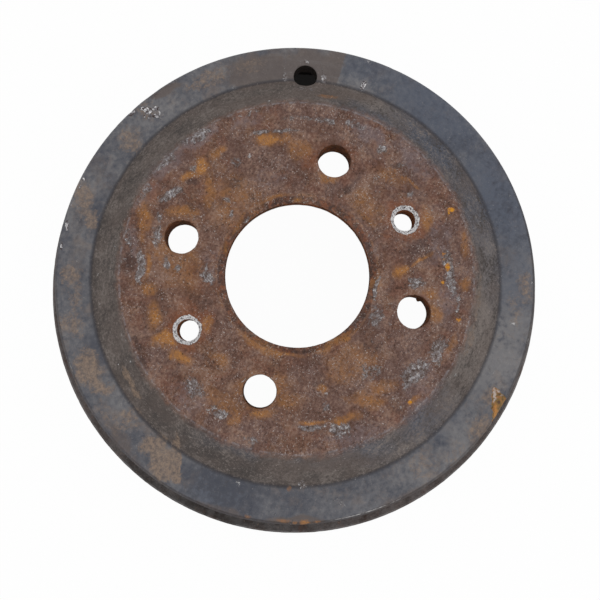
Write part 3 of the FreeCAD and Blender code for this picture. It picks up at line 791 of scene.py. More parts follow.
def pit_drop(places, count, seed):
    """Depth, 0 to 1, of scattered rust pits on the wheel face."""
    random = np.random.default_rng(seed)
    nearest, farthest = PITTED
    out = np.sqrt(random.uniform(nearest ** 2, farthest ** 2, count))
    turn = random.uniform(0, 2 * math.pi, count)
    size = random.uniform(*PIT_SIZES, count)
    depth = random.uniform(*PIT_DEPTHS, count)
    total = np.zeros(len(places))
    order = np.argsort(places[:, 0])
    sorted_x = places[order, 0]
    for x, y, radius, deep in zip(out * np.cos(turn), out * np.sin(turn), size, depth):
        low, high = np.searchsorted(sorted_x, (x - radius, x + radius))
        close = order[low:high]
        gap = distance(places[close], (x, y)) / radius
        total[close] = np.maximum(total[close], deep * (1 - ease(gap, 0.2, 1.0)))
    return total


def relief(points, kinds, section, wear, fields, lumps):
    """Height of scale on the wheel face, of skin on shoulder and ring, and of marks and pits."""
    broad, plates, grit, swirled = lumps
    radius = distance(points)
    front, in_hole = kinds == FACE, kinds == HOLE
    on_face = (1 - ease(radius, section.face_radius - 1.5, section.face_radius + 1.5)) * front
    on_ring = ease(radius, section.foot_radius - 1, section.foot_radius + 1.5) * front
    on_skin = np.clip(1 - on_face - on_ring, 0, 1)
    scale, skin, pit = wear.scale / MM, wear.skin / MM, wear.pit / MM
    pits = np.zeros(len(points))
    pits[front] = pit_drop(swirled[front], wear.pits, SEED) * on_face[front]
    scaly = ease(plates, -0.2, 0.5) - 0.5
    height = on_face * scale * (0.35 * broad + 0.45 * scaly + 0.45 * grit - 0.4)
    height -= pit * pits
    height += on_skin * skin * (0.5 * broad + 0.5 * plates + 0.8 * grit)
    height += on_ring * skin * (0.45 * broad + 0.15 * plates)
    height += fields["scrape"] * scale * (0.9 * grit - 0.25)
    height += np.minimum(fields["ochre"] * 0.5 + fields["yellow"], 1) * scale * 0.3
    height -= fields["knock"] * wear.knock / MM * (0.6 + 1.1 * grit)
    height[kinds == TRACK] *= 0.25
    bore = radius < BORE_RADIUS + section.lead_in + 1
    height[in_hole] = pit * np.where(bore, 0.25, 0.8)[in_hole] * grit[in_hole]
    return height


def add_burrs(height, points, places, in_hole):
    """Raise the burrs in the walls of the holes."""
    spots = np.column_stack([places, points[:, 2]])
    for right, up, level, reach, out in BURRS:
        gap = np.linalg.norm(spots - (right, up, level), axis=1)
        height += in_hole * out * (1 - ease(gap, 0.3, reach))


def edge_nicks(points, section, outside, uneven):
    """Depth, 0 to 1, of the nicks along the ring's edge."""
    edge = ease(distance(points), section.body_radius - 1.3, section.body_radius - 0.5)
    edge *= (points[:, 2] > section.ring_level - 4) & outside
    return edge * ease(uneven, 0.3, 1.1)


def chip_drop(points, places, section, outside, depth):
    """How far the flake broken out of the ring's edge lowers each point."""
    rough = np.clip(layered_noise(points, BREAK_LUMPS, SEED + 40), -1, 1)
    corners = np.array(CHIP_OUTLINE)
    gap = np.full(len(places), np.inf)
    for start, end in zip(corners, np.roll(corners, -1, axis=0)):
        way = (end - start) / np.linalg.norm(end - start)
        left = (places[:, 1] - start[1]) * way[0] - (places[:, 0] - start[0]) * way[1]
        gap = np.minimum(gap, left)
    drop = depth * ease(gap + 0.25 * rough, -0.35, 0.55) * (0.8 + 0.2 * rough)
    drop *= distance(points) > section.foot_radius + 2
    drop *= ease(points[:, 2], section.ring_level - 4.5, section.ring_level - 1.0)
    return drop * outside


def bare_countersinks(height, points, kinds, section):
    """How bare the screw holes' countersinks and walls are; their relief is smoothed."""
    front = kinds == FACE
    rim = section.countersink_radius
    bare = np.zeros(len(points))
    for centre in section.screw_holes:
        gap = distance(points, centre)
        bared = front * (1 - ease(gap, rim - 0.7, rim + 0.9))
        rusty_wall = (kinds == HOLE) & (gap < SCREW_HOLE_RADIUS + 1)
        bare = np.maximum(bare, np.maximum(bared, rusty_wall))
        height[front & (gap < rim + 0.2)] *= 0.3
    return bare


def weather(points, kinds, section, wear):
    """Stain fields, the height of rust, skin and knocks, and the chip's depth at each point."""
    places = turned(points, -PICTURE_TURN)
    outside = (kinds != BACK) & (kinds != TRACK)
    drift = np.stack([layered_noise(points, DRIFT_LUMPS, SEED + turn * 5, 4) for turn in (0, 1)], axis=1)
    fields = stain_fields(points, places, kinds, drift, section)
    swirled = points + RELIEF_DRIFT * np.column_stack([drift, drift[:, 0]])
    broad = layered_noise(points, BROAD_LUMPS, SEED + 10)
    plates = layered_noise(swirled, PLATE_LUMPS, SEED + 20, 4)
    grit = layered_noise(swirled, GRIT_LUMPS, SEED + 30, 2)
    height = relief(points, kinds, section, wear, fields, (broad, plates, grit, swirled))
    add_burrs(height, points, places, kinds == HOLE)
    height -= wear.nick / MM * edge_nicks(points, section, outside, broad + 0.5 * plates)
    depth = wear.chip / MM
    chip = chip_drop(points, places, section, outside, depth)
    fields["chip"] = np.clip(chip / depth, 0, 1)
    fields["relief"] = np.clip(0.5 + height / (2.5 * wear.scale / MM), 0, 1)
    fields["bare"] = bare_countersinks(height, points, kinds, section)
    return fields, height, chip


def surface_normals(mesh):
    """Normals of the mesh at its points."""
    normals = np.empty(len(mesh.vertices) * 3, np.float32)
    mesh.vertex_normals.foreach_get("vector", normals)
    return normals.reshape(-1, 3)


def build_casting(section, wear):
    """The whole casting as one closed mesh with its stain fields and its map."""
    shell = Shell()
    front = front_field(shell, section, wear.worn_edge / MM)
    back = back_field(shell, section)
    wall_bands(shell, section, front[0], back[0])
    hole_bands(shell, section, front, back)
    points = np.concatenate(shell.points)
    mesh = bpy.data.meshes.new(PIECE)
    mesh.from_pydata((points * MM).tolist(), [], shell.faces)
    mesh.polygons.foreach_set("material_index", np.concatenate(shell.slots).astype(np.int32))
    places = mesh.uv_layers.new(name="OFBake")
    places.uv.foreach_set("vector", np.concatenate(shell.places).astype(np.float32).ravel())
    fields, height, chip = weather(points, np.concatenate(shell.kinds), section, wear)
    moved = points + surface_normals(mesh) * height[:, None]
    moved[:, 2] -= chip
    moved = np.clip(moved, np.array(LOW) / MM, np.array(HIGH) / MM)
    mesh.vertices.foreach_set("co", (moved * MM).astype(np.float32).ravel())
    for name, values in fields.items():
        attribute = mesh.attributes.new(name, "FLOAT", "POINT")
        attribute.data.foreach_set("value", values.astype(np.float32))
    mesh.update()
    mesh.validate()
    mesh.set_sharp_from_angle(angle=math.radians(SHARP_DEGREES))
    return mesh


def opaque(shade):
    """A grey or a colour as Blender's four values."""
    values = [shade] * 3 if isinstance(shade, (int, float)) else list(shade)
    return (*values[:3], 1.0)


class Tree:
    """A shader tree that adds and links nodes in few words, and knows its place on the casting."""

    def __init__(self, tree):
        self.tree = tree
        self.tree.nodes.clear()
        self.place = self.radius = self.turned = None

    def feed(self, socket, value):
        """Link a socket to an input, or set the input to a number, a grey or a colour."""
        if isinstance(value, bpy.types.NodeSocket):
            self.tree.links.new(value, socket)
        elif socket.type == "RGBA":
            socket.default_value = opaque(value)
        else:
            socket.default_value = value

    def add(self, kind, links=None, **settings):
        """Add a node, set its properties and feed its inputs."""
        node = self.tree.nodes.new(kind)
        for name, value in settings.items():
            setattr(node, name, value)
        for name, value in (links or {}).items():
            self.feed(node.inputs[name], value)
        return node

    def group(self, name, links=None):
        """Place a shared node group and return its outputs."""
        return self.add("ShaderNodeGroup", links, node_tree=bpy.data.node_groups[name]).outputs

    def field(self, name):
        """A stain field of the mesh."""
        return self.add("ShaderNodeAttribute", attribute_name=name).outputs["Fac"]

    def math(self, operation, *values, clamp=False):
        """One sum on sockets or numbers."""
        links = dict(enumerate(values))
        return self.add("ShaderNodeMath", links, operation=operation, use_clamp=clamp).outputs[0]

    def vector(self, operation, *values, **named):
        """One sum on vectors."""
        links = {**dict(enumerate(values)), **named}
        return self.add("ShaderNodeVectorMath", links, operation=operation).outputs

    def times(self, first, second):
        """The product of two values."""
        return self.math("MULTIPLY", first, second)

    def plus(self, first, second, share=None):
        """The first value and the second, or a share of the second."""
        return self.math("ADD", first, second if share is None else self.times(second, share))

    def less(self, first, second):
        """The first value without the second."""
        return self.math("SUBTRACT", first, second)

    def rest(self, value, share=None):
        """What the value, or a share of it, leaves of 1."""
        return self.less(1.0, value if share is None else self.times(value, share))

    def most(self, first, second):
        """The larger of two values."""
        return self.math("MAXIMUM", first, second)

    def rise(self, value, start, end, how="SMOOTHSTEP"):
        """0 before start, 1 after end, smooth or straight between."""
        links = {"Value": value, "From Min": start, "From Max": end}
        return self.add("ShaderNodeMapRange", links, interpolation_type=how).outputs["Result"]

    def near(self, value, middle, reach):
        """1 at the middle, 0 beyond the reach on either side."""
        gap = self.math("ABSOLUTE", self.less(value, middle))
        return self.rest(self.rise(gap, 0.1 * reach, reach))

    def noise(self, size, detail=3.0, roughness=0.55, distortion=0.0, finer=1.0, place=None):
        """Noise with lumps of a size in millimetres, given as a number or a socket, or finer ones."""
        scale = finer / size if isinstance(size, (int, float)) else self.math("DIVIDE", finer, size)
        links = {"Vector": self.place if place is None else place, "Scale": scale, "Detail": detail,
                 "Roughness": roughness, "Distortion": distortion}
        return self.add("ShaderNodeTexNoise", links).outputs["Fac"]

    def steps(self, factor, *stops):
        """A ramp through (position, colour) stops."""
        node = self.add("ShaderNodeValToRGB", {"Fac": factor})
        ramp = node.color_ramp
        while len(ramp.elements) < len(stops):
            ramp.elements.new(1.0)
        for element, (position, shade) in zip(ramp.elements, stops):
            element.position = position
            element.color = opaque(shade)
        return node.outputs["Color"]

    def blend(self, factor, under, over):
        """Lay one colour over another."""
        links = {0: factor, 6: under, 7: over}
        return self.add("ShaderNodeMix", links, data_type="RGBA").outputs[2]

    def lay(self, under, mask, share, over):
        """Lay one colour over another where the mask is, as strongly as the share says."""
        return self.blend(self.times(mask, share), under, over)

    def mottle(self, size, swirl, coarse, fine, dark, middle, pale):
        """Three tones of one colour, mixed by the shared mottle."""
        links = {"Place": self.place, "Size": size, "Swirl": swirl, "Coarse": coarse, "Fine": fine,
                 "Dark": dark, "Middle": middle, "Pale": pale}
        return self.group("mottle", links)["Color"]

    def stain(self, name, size, raggedness, softness, level=0.42):
        """The ragged mask of a named stain field."""
        links = {"Field": self.field(name), "Place": self.place, "Size": size,
                 "Raggedness": raggedness, "Softness": softness, "Level": level}
        return self.group("ragged_stain", links)["Mask"]

    def specks(self, size, level, clusters):
        """The mask of the shared flecks."""
        links = {"Place": self.place, "Size": size, "Level": level, "Clusters": clusters}
        return self.group("specks", links)["Mask"]

    def grit(self, size, pits):
        """The shared fine height of rust or casting skin, for bump."""
        return self.group("grit", {"Place": self.place, "Size": size, "Pits": pits})["Height"]


NUMBER = "NodeSocketFloat"
VECTOR = "NodeSocketVector"
COLOUR = "NodeSocketColor"


def new_group(name, inputs, outputs):
    """A node group with named inputs and outputs. Returns its tree, its inputs and its outputs."""
    made = bpy.data.node_groups.new(name, "ShaderNodeTree")
    for label, kind, default in inputs:
        socket = made.interface.new_socket(label, in_out="INPUT", socket_type=kind)
        if default is not None:
            socket.default_value = default
    for label, kind in outputs:
        made.interface.new_socket(label, in_out="OUTPUT", socket_type=kind)
    tree = Tree(made)
    given = tree.add("NodeGroupInput").outputs
    tree.place = given.get("Place")
    return tree, given, tree.add("NodeGroupOutput").inputs


def casting_space_group():
    """Places on the casting in millimetres, its distance from the axis, and a frame for turned streaks."""
    tree, given, out = new_group(
        "casting_space", [("Streak", NUMBER, 12.0)],
        [("Place", VECTOR), ("Radius", NUMBER), ("Turned", VECTOR)])
    own = tree.add("ShaderNodeTexCoord").outputs["Object"]
    place = tree.vector("SCALE", own, Scale=1 / MM)[0]
    parts = tree.add("ShaderNodeSeparateXYZ", {0: place}).outputs
    flat = tree.add("ShaderNodeCombineXYZ", {0: parts[0], 1: parts[1]}).outputs[0]
    radius = tree.vector("LENGTH", flat)["Value"]
    streak = tree.math("DIVIDE", 100.0, given["Streak"])
    around = tree.vector("SCALE", tree.vector("NORMALIZE", flat)[0], Scale=streak)[0]
    across = tree.add("ShaderNodeCombineXYZ", {2: tree.plus(radius, parts[2])}).outputs[0]
    tree.feed(out["Place"], place)
    tree.feed(out["Radius"], radius)
    tree.feed(out["Turned"], tree.vector("ADD", around, across)[0])


def mottle_group():
    """Three tones of one colour, mixed by swirling noise from coarse to fine."""
    tree, given, out = new_group("mottle", [
        ("Place", VECTOR, None), ("Size", NUMBER, 6.0), ("Swirl", NUMBER, 0.7), ("Coarse", NUMBER, 1.5),
        ("Fine", NUMBER, 1.5), ("Dark", COLOUR, None), ("Middle", COLOUR, None), ("Pale", COLOUR, None)],
        [("Color", COLOUR)])
    coarse = tree.less(tree.noise(given["Size"], 4.0, 0.62, given["Swirl"]), 0.5)
    fine = tree.less(tree.noise(given["Size"], 4.0, 0.62, 0.1, finer=8.0), 0.5)
    tone = tree.plus(tree.times(coarse, given["Coarse"]), tree.times(fine, given["Fine"]))
    tone = tree.math("ADD", tone, 0.5, clamp=True)
    low = tree.blend(tree.rise(tone, 0.15, 0.5, "LINEAR"), given["Dark"], given["Middle"])
    tree.feed(out["Color"], tree.blend(tree.rise(tone, 0.5, 0.85, "LINEAR"), low, given["Pale"]))


def ragged_group():
    """A stain field whose edge is feathered and broken up by fine noise."""
    tree, given, out = new_group("ragged_stain", [
        ("Field", NUMBER, 0.0), ("Place", VECTOR, None), ("Size", NUMBER, 1.5), ("Raggedness", NUMBER, 0.6),
        ("Softness", NUMBER, 0.25), ("Level", NUMBER, 0.42)], [("Mask", NUMBER)])
    noise = tree.less(tree.noise(given["Size"], 5.0, 0.75, 0.8), 0.5)
    value = tree.plus(given["Field"], tree.times(noise, given["Raggedness"]), 2.5)
    start = tree.less(given["Level"], given["Softness"])
    end = tree.plus(given["Level"], given["Softness"])
    present = tree.rise(given["Field"], 0.02, 0.2)
    tree.feed(out["Mask"], tree.times(tree.rise(value, start, end), present))


def specks_group():
    """Irregular flecks that stand in loose clusters."""
    tree, given, out = new_group("specks", [
        ("Place", VECTOR, None), ("Size", NUMBER, 0.9), ("Level", NUMBER, 0.62), ("Clusters", NUMBER, 0.5)],
        [("Mask", NUMBER)])
    level, crowd = given["Level"], given["Clusters"]
    flecks = tree.rise(tree.noise(given["Size"], 3.0, 0.65, 0.4), level, tree.plus(level, 0.05))
    clusters = tree.noise(given["Size"], 3.0, 0.5, finer=0.13)
    there = tree.rise(clusters, tree.less(crowd, 0.12), tree.plus(crowd, 0.12))
    tree.feed(out["Mask"], tree.times(flecks, there))


def grit_group():
    """Fine height of rust or casting skin, for bump."""
    tree, given, out = new_group("grit", [
        ("Place", VECTOR, None), ("Size", NUMBER, 0.8), ("Pits", NUMBER, 0.5)], [("Height", NUMBER)])
    grain = tree.noise(given["Size"], 4.0, 0.65)
    links = {"Vector": given["Place"], "Scale": tree.math("DIVIDE", 1.0, given["Size"])}
    cells = tree.add("ShaderNodeTexVoronoi", links).outputs["Distance"]
    pits = tree.times(tree.rest(tree.rise(cells, 0.1, 0.5)), given["Pits"])
    tree.feed(out["Height"], tree.less(grain, pits))


SHARED_GROUPS = (casting_space_group, mottle_group, ragged_group, specks_group, grit_group)


def new_material(name):
    """An empty material and its tree."""
    material = bpy.data.materials.new(name)
    material.use_nodes = True
    return material, Tree(material.node_tree)


def casting_material(name, streak=12.0):
    """A material whose tree knows its place, its distance from the axis and the turned frame."""
    material, tree = new_material(name)
    space = tree.group("casting_space", {"Streak": streak})
    tree.place, tree.radius, tree.turned = space["Place"], space["Radius"], space["Turned"]
    return material, tree


def finish_surface(tree, specular, base, roughness, height, depth, metallic=0.0):
    """The material's shader, with its constants on its own sockets."""
    bump = tree.add("ShaderNodeBump", {"Height": height, "Strength": 1.0, "Distance": depth * MM})
    shader = tree.add("ShaderNodeBsdfPrincipled", {
        "Base Color": base, "Roughness": roughness, "Metallic": metallic,
        "Specular IOR Level": specular, "Normal": bump.outputs[0]})
    tree.add("ShaderNodeOutputMaterial", {"Surface": shader.outputs[0]})


def rusty_face_colour(tree, finish):
    """Colour of the wheel face."""
    base = tree.blend(tree.field("warm"), finish.plum, finish.rust)
    base = tree.lay(base, tree.field("cool"), 0.8, finish.plum)
    blotches = tree.rise(tree.noise(15.0, 7.0, 0.74, 0.5), 0.45, 0.6)
    reddish = tree.blend(tree.rise(tree.noise(6.0), 0.4, 0.6), finish.rust_red, finish.ochre)
    base = tree.lay(base, blotches, 0.32, reddish)
    rust = tree.mottle(9.0, 0.5, 1.4, 1.45, finish.rust_dark, base, finish.rust_pale)
    lines = tree.rise(tree.noise(1.3, 4.0, 0.7, place=tree.turned), 0.54, 0.68)
    rust = tree.lay(rust, lines, 0.12, finish.rust_pale)
    rust = tree.lay(rust, tree.stain("lilac", 2.2, 0.8, 0.35, 0.4), 0.5, finish.lilac)
    return tree.lay(rust, tree.stain("haze", 2.5, 0.6, 0.5), 0.6, finish.rust_red)


def rust_flecks(tree, finish, shade, spread):
    """Pale crumbs, fine scribbled lines and dark pits, over the share of the surface that is given."""
    crumbs = tree.times(tree.specks(0.75, 0.6, 0.46), spread)
    shade = tree.lay(shade, crumbs, 0.72, finish.crumbs)
    line = tree.rise(tree.math("ABSOLUTE", tree.less(tree.noise(3.2, 2.0, 0.6, 1.2), 0.5)), 0.004, 0.022)
    scribble = tree.times(tree.rest(line), tree.rise(tree.noise(6.0), 0.48, 0.62))
    shade = tree.lay(shade, tree.times(scribble, spread), 0.26, finish.crumbs)
    pits = tree.times(tree.specks(1.0, 0.59, 0.45), spread)
    return tree.lay(shade, pits, 0.66, finish.black)


def overlay_marks(tree, finish, shade):
    """Lay loose rust, stains and scrapes over the rusty face. Returns the colour and the scrapes' mask."""
    patchy = tree.rise(tree.noise(2.4, 6.0, 0.78, 0.4), 0.34, 0.52)
    halo = tree.times(tree.stain("ochre", 2.6, 1.0, 0.36), patchy)
    shade = tree.lay(shade, halo, 0.72, finish.ochre)
    shade = tree.lay(shade, tree.stain("ochre", 5.0, 1.0, 0.6, 0.25), 0.3, finish.ochre)
    loose = tree.rise(tree.noise(1.0, 5.0, 0.75, 1.0), 0.38, 0.54)
    core = tree.times(tree.stain("ochre", 1.4, 1.0, 0.22, 0.8), loose)
    shade = tree.lay(shade, core, 0.66, finish.orange)
    shade = tree.lay(shade, tree.stain("stain", 1.8, 0.8, 0.4), 0.65, finish.stain)
    scraped = tree.stain("scrape", 2.4, 0.95, 0.2)
    gleam = tree.steps(tree.noise(1.05, 5.0, 0.72, 0.6), (0.38, finish.stain),
                       (0.46, finish.skin_pale), (0.55, finish.dull_iron), (0.67, finish.bare_iron_and_highlight))
    return tree.lay(shade, scraped, 0.88, gleam), scraped


def shoulder_colour(tree, finish, film):
    """Colour of the as-cast shoulder."""
    middle = tree.lay(finish.skin, tree.field("pale"), 0.95, finish.skin_pale)
    middle = tree.lay(middle, tree.field("slate"), 0.85, finish.skin_dark)
    middle = tree.lay(middle, tree.field("cool"), 0.85, finish.oxide_blue)
    skin = tree.mottle(10.0, 0.3, 1.25, 1.5, finish.skin_dark, middle, finish.skin_pale)
    brown = tree.rise(tree.noise(16.0, 5.0, 0.65), 0.4, 0.66)
    skin = tree.lay(skin, brown, 0.5, finish.film)
    return tree.lay(skin, film, 0.6, finish.film)


def ring_colour(tree, finish, film):
    """Colour of the smooth outer ring, calmer where the oxide is thick."""
    slate, cool = tree.field("slate"), tree.field("cool")
    calm = tree.times(tree.most(slate, cool), 0.85)
    loud = tree.rest(calm)
    middle = tree.lay(finish.oxide, tree.field("pale"), 0.85, finish.oxide_pale)
    middle = tree.lay(middle, slate, 0.8, finish.oxide_dark)
    middle = tree.lay(middle, cool, 0.85, finish.oxide_blue)
    pale = tree.blend(calm, finish.oxide_pale, finish.oxide_blue)
    ring = tree.mottle(16.0, 0.3, 1.05, 1.1, finish.oxide_dark, middle, pale)
    smudge = tree.rise(tree.noise(9.0, 7.0, 0.72, 0.2), 0.5, 0.68)
    ring = tree.lay(ring, tree.times(smudge, loud), 0.24, finish.dust)
    ring = tree.lay(ring, film, 0.75, finish.film)
    streaks = tree.rise(tree.noise(1.2, 4.0, 0.7, place=tree.turned), 0.5, 0.72)
    ring = tree.lay(ring, tree.times(streaks, loud), 0.16, finish.oxide_pale)
    dirt = tree.rise(tree.noise(2.2, 6.0, 0.78, 0.3), 0.56, 0.7)
    return tree.lay(ring, dirt, 0.42, finish.skin_dark)


def broken_flake(tree, finish, shade):
    """The chip in the ring's edge: olive and ochre inside, with pale facets at its top."""
    fresh = tree.steps(tree.noise(2.0, 5.0, 0.7, 0.4), (0.38, finish.rust_dark), (0.47, finish.olive),
                       (0.58, finish.ochre))
    fresh = tree.lay(fresh, tree.stain("yellow", 1.2, 0.8, 0.3, 0.3), 0.8, finish.orange)
    fresh = tree.lay(fresh, tree.stain("facet", 1.0, 0.7, 0.3), 0.85, finish.crumbs)
    return tree.blend(tree.rise(tree.field("chip"), 0.1, 0.35), shade, fresh)


def bared_metal(tree, finish, wander):
    """Mask and colour of the metal that knocks and countersinks have bared; the knocks' bright and dark
    steps are partly painted highlights and shade.
    """
    knock = tree.field("knock")
    knocked = tree.rise(tree.plus(knock, wander, 1.4), 0.3, 0.5)
    bored = tree.rise(tree.plus(tree.field("bare"), wander, 2.4), 0.35, 0.6)
    bright = tree.steps(tree.noise(0.9, 5.0, 0.8, 0.3), (0.39, finish.stain), (0.44, finish.dull_iron),
                        (0.5, finish.bare_iron_and_highlight))
    knock_iron_and_painted_light = tree.steps(tree.noise(1.7, 4.0, 0.65, 0.8), (0.42, finish.stain), (0.5, finish.dull_iron),
                        (0.57, finish.bare_iron_and_highlight))
    # Darker in the knocks' deepest middle, partly painted shade.
    knock_iron_and_painted_light = tree.lay(knock_iron_and_painted_light, tree.rise(knock, 0.6, 0.95), 0.25, finish.stain)
    return tree.most(knocked, bored), tree.blend(tree.rise(knock, 0.02, 0.1), bright, knock_iron_and_painted_light)


def turned_edges(tree, finish, section, wander, shade):
    """The bore's dark bevel, the line round the wheel face with a painted highlight, painted shade with
    dirt at the ring's foot, and at its edge a darkened chamfer and a painted highlight.
    """
    radius, bevel, body = tree.radius, section.bevel_radius, section.body_radius
    broken_up = tree.rise(tree.noise(3.0, 5.0, 0.7), 0.42, 0.6)
    wandering = tree.plus(radius, wander)
    dirty = tree.steps(tree.noise(2.6, 5.0, 0.7, 0.4), (0.4, finish.black), (0.5, finish.rust_dark),
                       (0.6, finish.rust_red))
    shade = tree.lay(shade, tree.rise(wandering, bevel + 0.5, bevel - 0.3), 0.6, dirty)
    brim = tree.times(tree.near(wandering, bevel + 0.7, 0.7), broken_up)
    shade = tree.lay(shade, brim, 0.4, finish.ochre)
    # A grey line of worn iron round the wheel face's edge, partly a painted highlight.
    rim = tree.near(tree.plus(radius, wander, 1.5), section.face_radius, 0.7)
    shade = tree.lay(shade, tree.times(rim, broken_up), 0.5, finish.dull_iron)
    # Painted shade with dirt in the corner at the ring's foot.
    foot = tree.near(wandering, section.foot_radius + 0.5, 1.3)
    shade = tree.lay(shade, foot, 0.68, finish.foot)
    # The chamfer at the ring's edge is darkened on the bottom and both sides.
    side = tree.rise(tree.plus(radius, wander, 0.8), body - 1.5, body - 0.9)
    shade = tree.lay(shade, tree.times(side, tree.field("grime")), 0.6, finish.black)
    # A painted highlight along the ring's edge, partly worn bright iron.
    gleam = tree.times(tree.near(radius, body - 0.9, 0.28), tree.field("gleam"))
    return tree.lay(shade, tree.times(gleam, broken_up), 0.6, finish.bare_iron_and_highlight)


def face_material(finish, section):
    """The outboard side: rusty wheel face, cast shoulder and smooth ring."""
    material, tree = casting_material("weathered_face", 30.0)
    film = tree.stain("film", 3.5, 0.35, 0.3)
    rust = rusty_face_colour(tree, finish)
    skin = shoulder_colour(tree, finish, film)
    ring = ring_colour(tree, finish, film)
    wander = tree.less(tree.noise(5.0, 6.0, 0.72, 0.3), 0.5)
    off_face = tree.rise(tree.plus(tree.radius, wander, 9.0), section.face_radius - 1.8,
                         section.face_radius + 3.2)
    off_skin = tree.rise(tree.plus(tree.radius, wander, 1.2), section.foot_radius - 0.1,
                         section.foot_radius + 1.0)
    shade = tree.blend(off_skin, tree.blend(off_face, rust, skin), ring)
    dust = tree.blend(tree.rise(tree.noise(1.6, 5.0, 0.75), 0.34, 0.62), finish.film, finish.dust)
    shade = tree.lay(shade, tree.times(tree.stain("tan", 1.8, 0.75, 0.3), off_face), 0.76, dust)
    shade = turned_edges(tree, finish, section, wander, shade)
    shade, scraped = overlay_marks(tree, finish, shade)
    spread = tree.times(tree.rest(off_skin, 0.6), tree.rest(off_face, 0.62))
    shade = rust_flecks(tree, finish, shade, spread)
    hollow = tree.rest(tree.rise(tree.field("relief"), 0.0, 0.36))
    shade = tree.lay(shade, hollow, 0.4, finish.rust_dark)
    fresh_rust = tree.steps(tree.noise(1.0, 4.0, 0.7), (0.34, finish.rust_red), (0.46, finish.orange),
                            (0.58, finish.yellow))
    shade = tree.blend(tree.stain("yellow", 0.8, 0.6, 0.3), shade, fresh_rust)
    shade = broken_flake(tree, finish, shade)
    bared, metal = bared_metal(tree, finish, wander)
    shade = tree.blend(bared, shade, metal)
    bare = tree.most(tree.times(scraped, 0.6), bared)
    roughness = tree.blend(bare, tree.blend(off_skin, 0.88, 0.62), 0.48)
    height = tree.times(tree.grit(0.8, 0.3), tree.plus(tree.rest(off_skin, 0.75), bare, 1.2))
    finish_surface(tree, 0.25, shade, roughness, height, 0.45, tree.times(bare, 0.2))
    return material


def wall_material(finish, section):
    """The dirty outside of the wall, the flange and the lip."""
    material, tree = casting_material("dirty_wall")
    # The wall is darker at the bottom left and round the access hole.
    sooty = tree.field("sooty")
    middle = tree.blend(sooty, finish.wall, finish.wall_dark)
    pale = tree.blend(sooty, finish.wall_pale, finish.wall)
    shade = tree.mottle(14.0, 0.3, 0.9, 0.8, finish.black, middle, pale)
    rusty = tree.rise(tree.noise(10.0, 6.0, 0.7, 0.5), 0.54, 0.68)
    shade = tree.lay(shade, rusty, 0.5, finish.rust_dark)
    spots = tree.rise(tree.noise(3.0, 5.0, 0.7), 0.62, 0.74)
    shade = tree.lay(shade, spots, 0.4, finish.rust_red)
    level = tree.add("ShaderNodeSeparateXYZ", {0: tree.place}).outputs[2]
    # A pale line along the flange's top edge: worn edge, partly a painted highlight.
    worn = tree.rise(tree.noise(6.0, 4.0), 0.42, 0.6)
    edge = tree.times(tree.near(level, section.flange_top - 0.5, 0.9), worn)
    shade = tree.lay(shade, edge, 0.4, finish.oxide_pale)
    shade = tree.lay(shade, tree.specks(1.0, 0.62, 0.5), 0.4, finish.dust)
    finish_surface(tree, 0.3, shade, tree.blend(rusty, 0.72, 0.88), tree.grit(1.0, 0.4), 0.3)
    return material


def back_material(finish, section):
    """The hub seat, recess and plate inside the cavity, darker towards the corner, with painted shade in
    the corner at the bottom left and behind the access hole.
    """
    material, tree = casting_material("cavity_rust")
    rust = tree.mottle(9.0, 0.5, 1.6, 1.4, finish.rust_dark, finish.rust, finish.dust)
    dusty = tree.mottle(8.0, 0.4, 1.4, 1.2, finish.black, finish.skin_dark, finish.skin)
    off_seat = tree.rise(tree.radius, section.seat_radius - 1.0, section.seat_radius + 1.5)
    shade = tree.blend(off_seat, rust, dusty)
    corner = tree.rise(tree.radius, section.recess_foot - 1.0, section.recess_foot + 6.0)
    # Darker towards the cavity's corner; painted shade on top of that where the shade field is.
    shade = tree.lay(shade, corner, 0.6, finish.black)
    shade = tree.lay(shade, corner, tree.field("sooty"), finish.soot)
    finish_surface(tree, 0.25, shade, tree.blend(off_seat, 0.85, 0.92), tree.grit(1.1, 0.4), 0.3)
    return material


def track_material(finish, section):
    """The bored friction surface: worn in turned lines below, dark with rust and dust above."""
    material, tree = casting_material("friction_track", 40.0)
    level = tree.add("ShaderNodeSeparateXYZ", {0: tree.place}).outputs[2]
    lines = tree.noise(0.5, 3.0, 0.7, place=tree.turned)
    shade = tree.steps(lines, (0.3, finish.skin_dark), (0.5, finish.track), (0.7, finish.dull_iron))
    rust = tree.mottle(6.0, 0.7, 1.6, 1.4, finish.black, finish.rust_dark, finish.rust)
    height = tree.plus(level, tree.less(tree.noise(5.0, 5.0, 0.65), 0.5), 9.0)
    low_end = tree.rest(tree.rise(height, RIM + 3.0, RIM + 5.0))
    high_end = tree.rise(height, section.plate_back - 19.5, section.plate_back - 17.0)
    rusty = tree.most(low_end, high_end)
    shade = tree.blend(rusty, shade, rust)
    # Painted shade near the cavity's corner, at the bottom left and behind the access hole.
    corner = tree.rise(level, section.plate_back - 27.0, section.plate_back - 17.0)
    shade = tree.lay(shade, corner, tree.field("sooty"), finish.soot)
    worn = tree.times(tree.rest(rusty), 0.6)
    finish_surface(tree, 0.2, shade, tree.blend(rusty, 0.45, 0.92), lines, 0.12, worn)
    return material


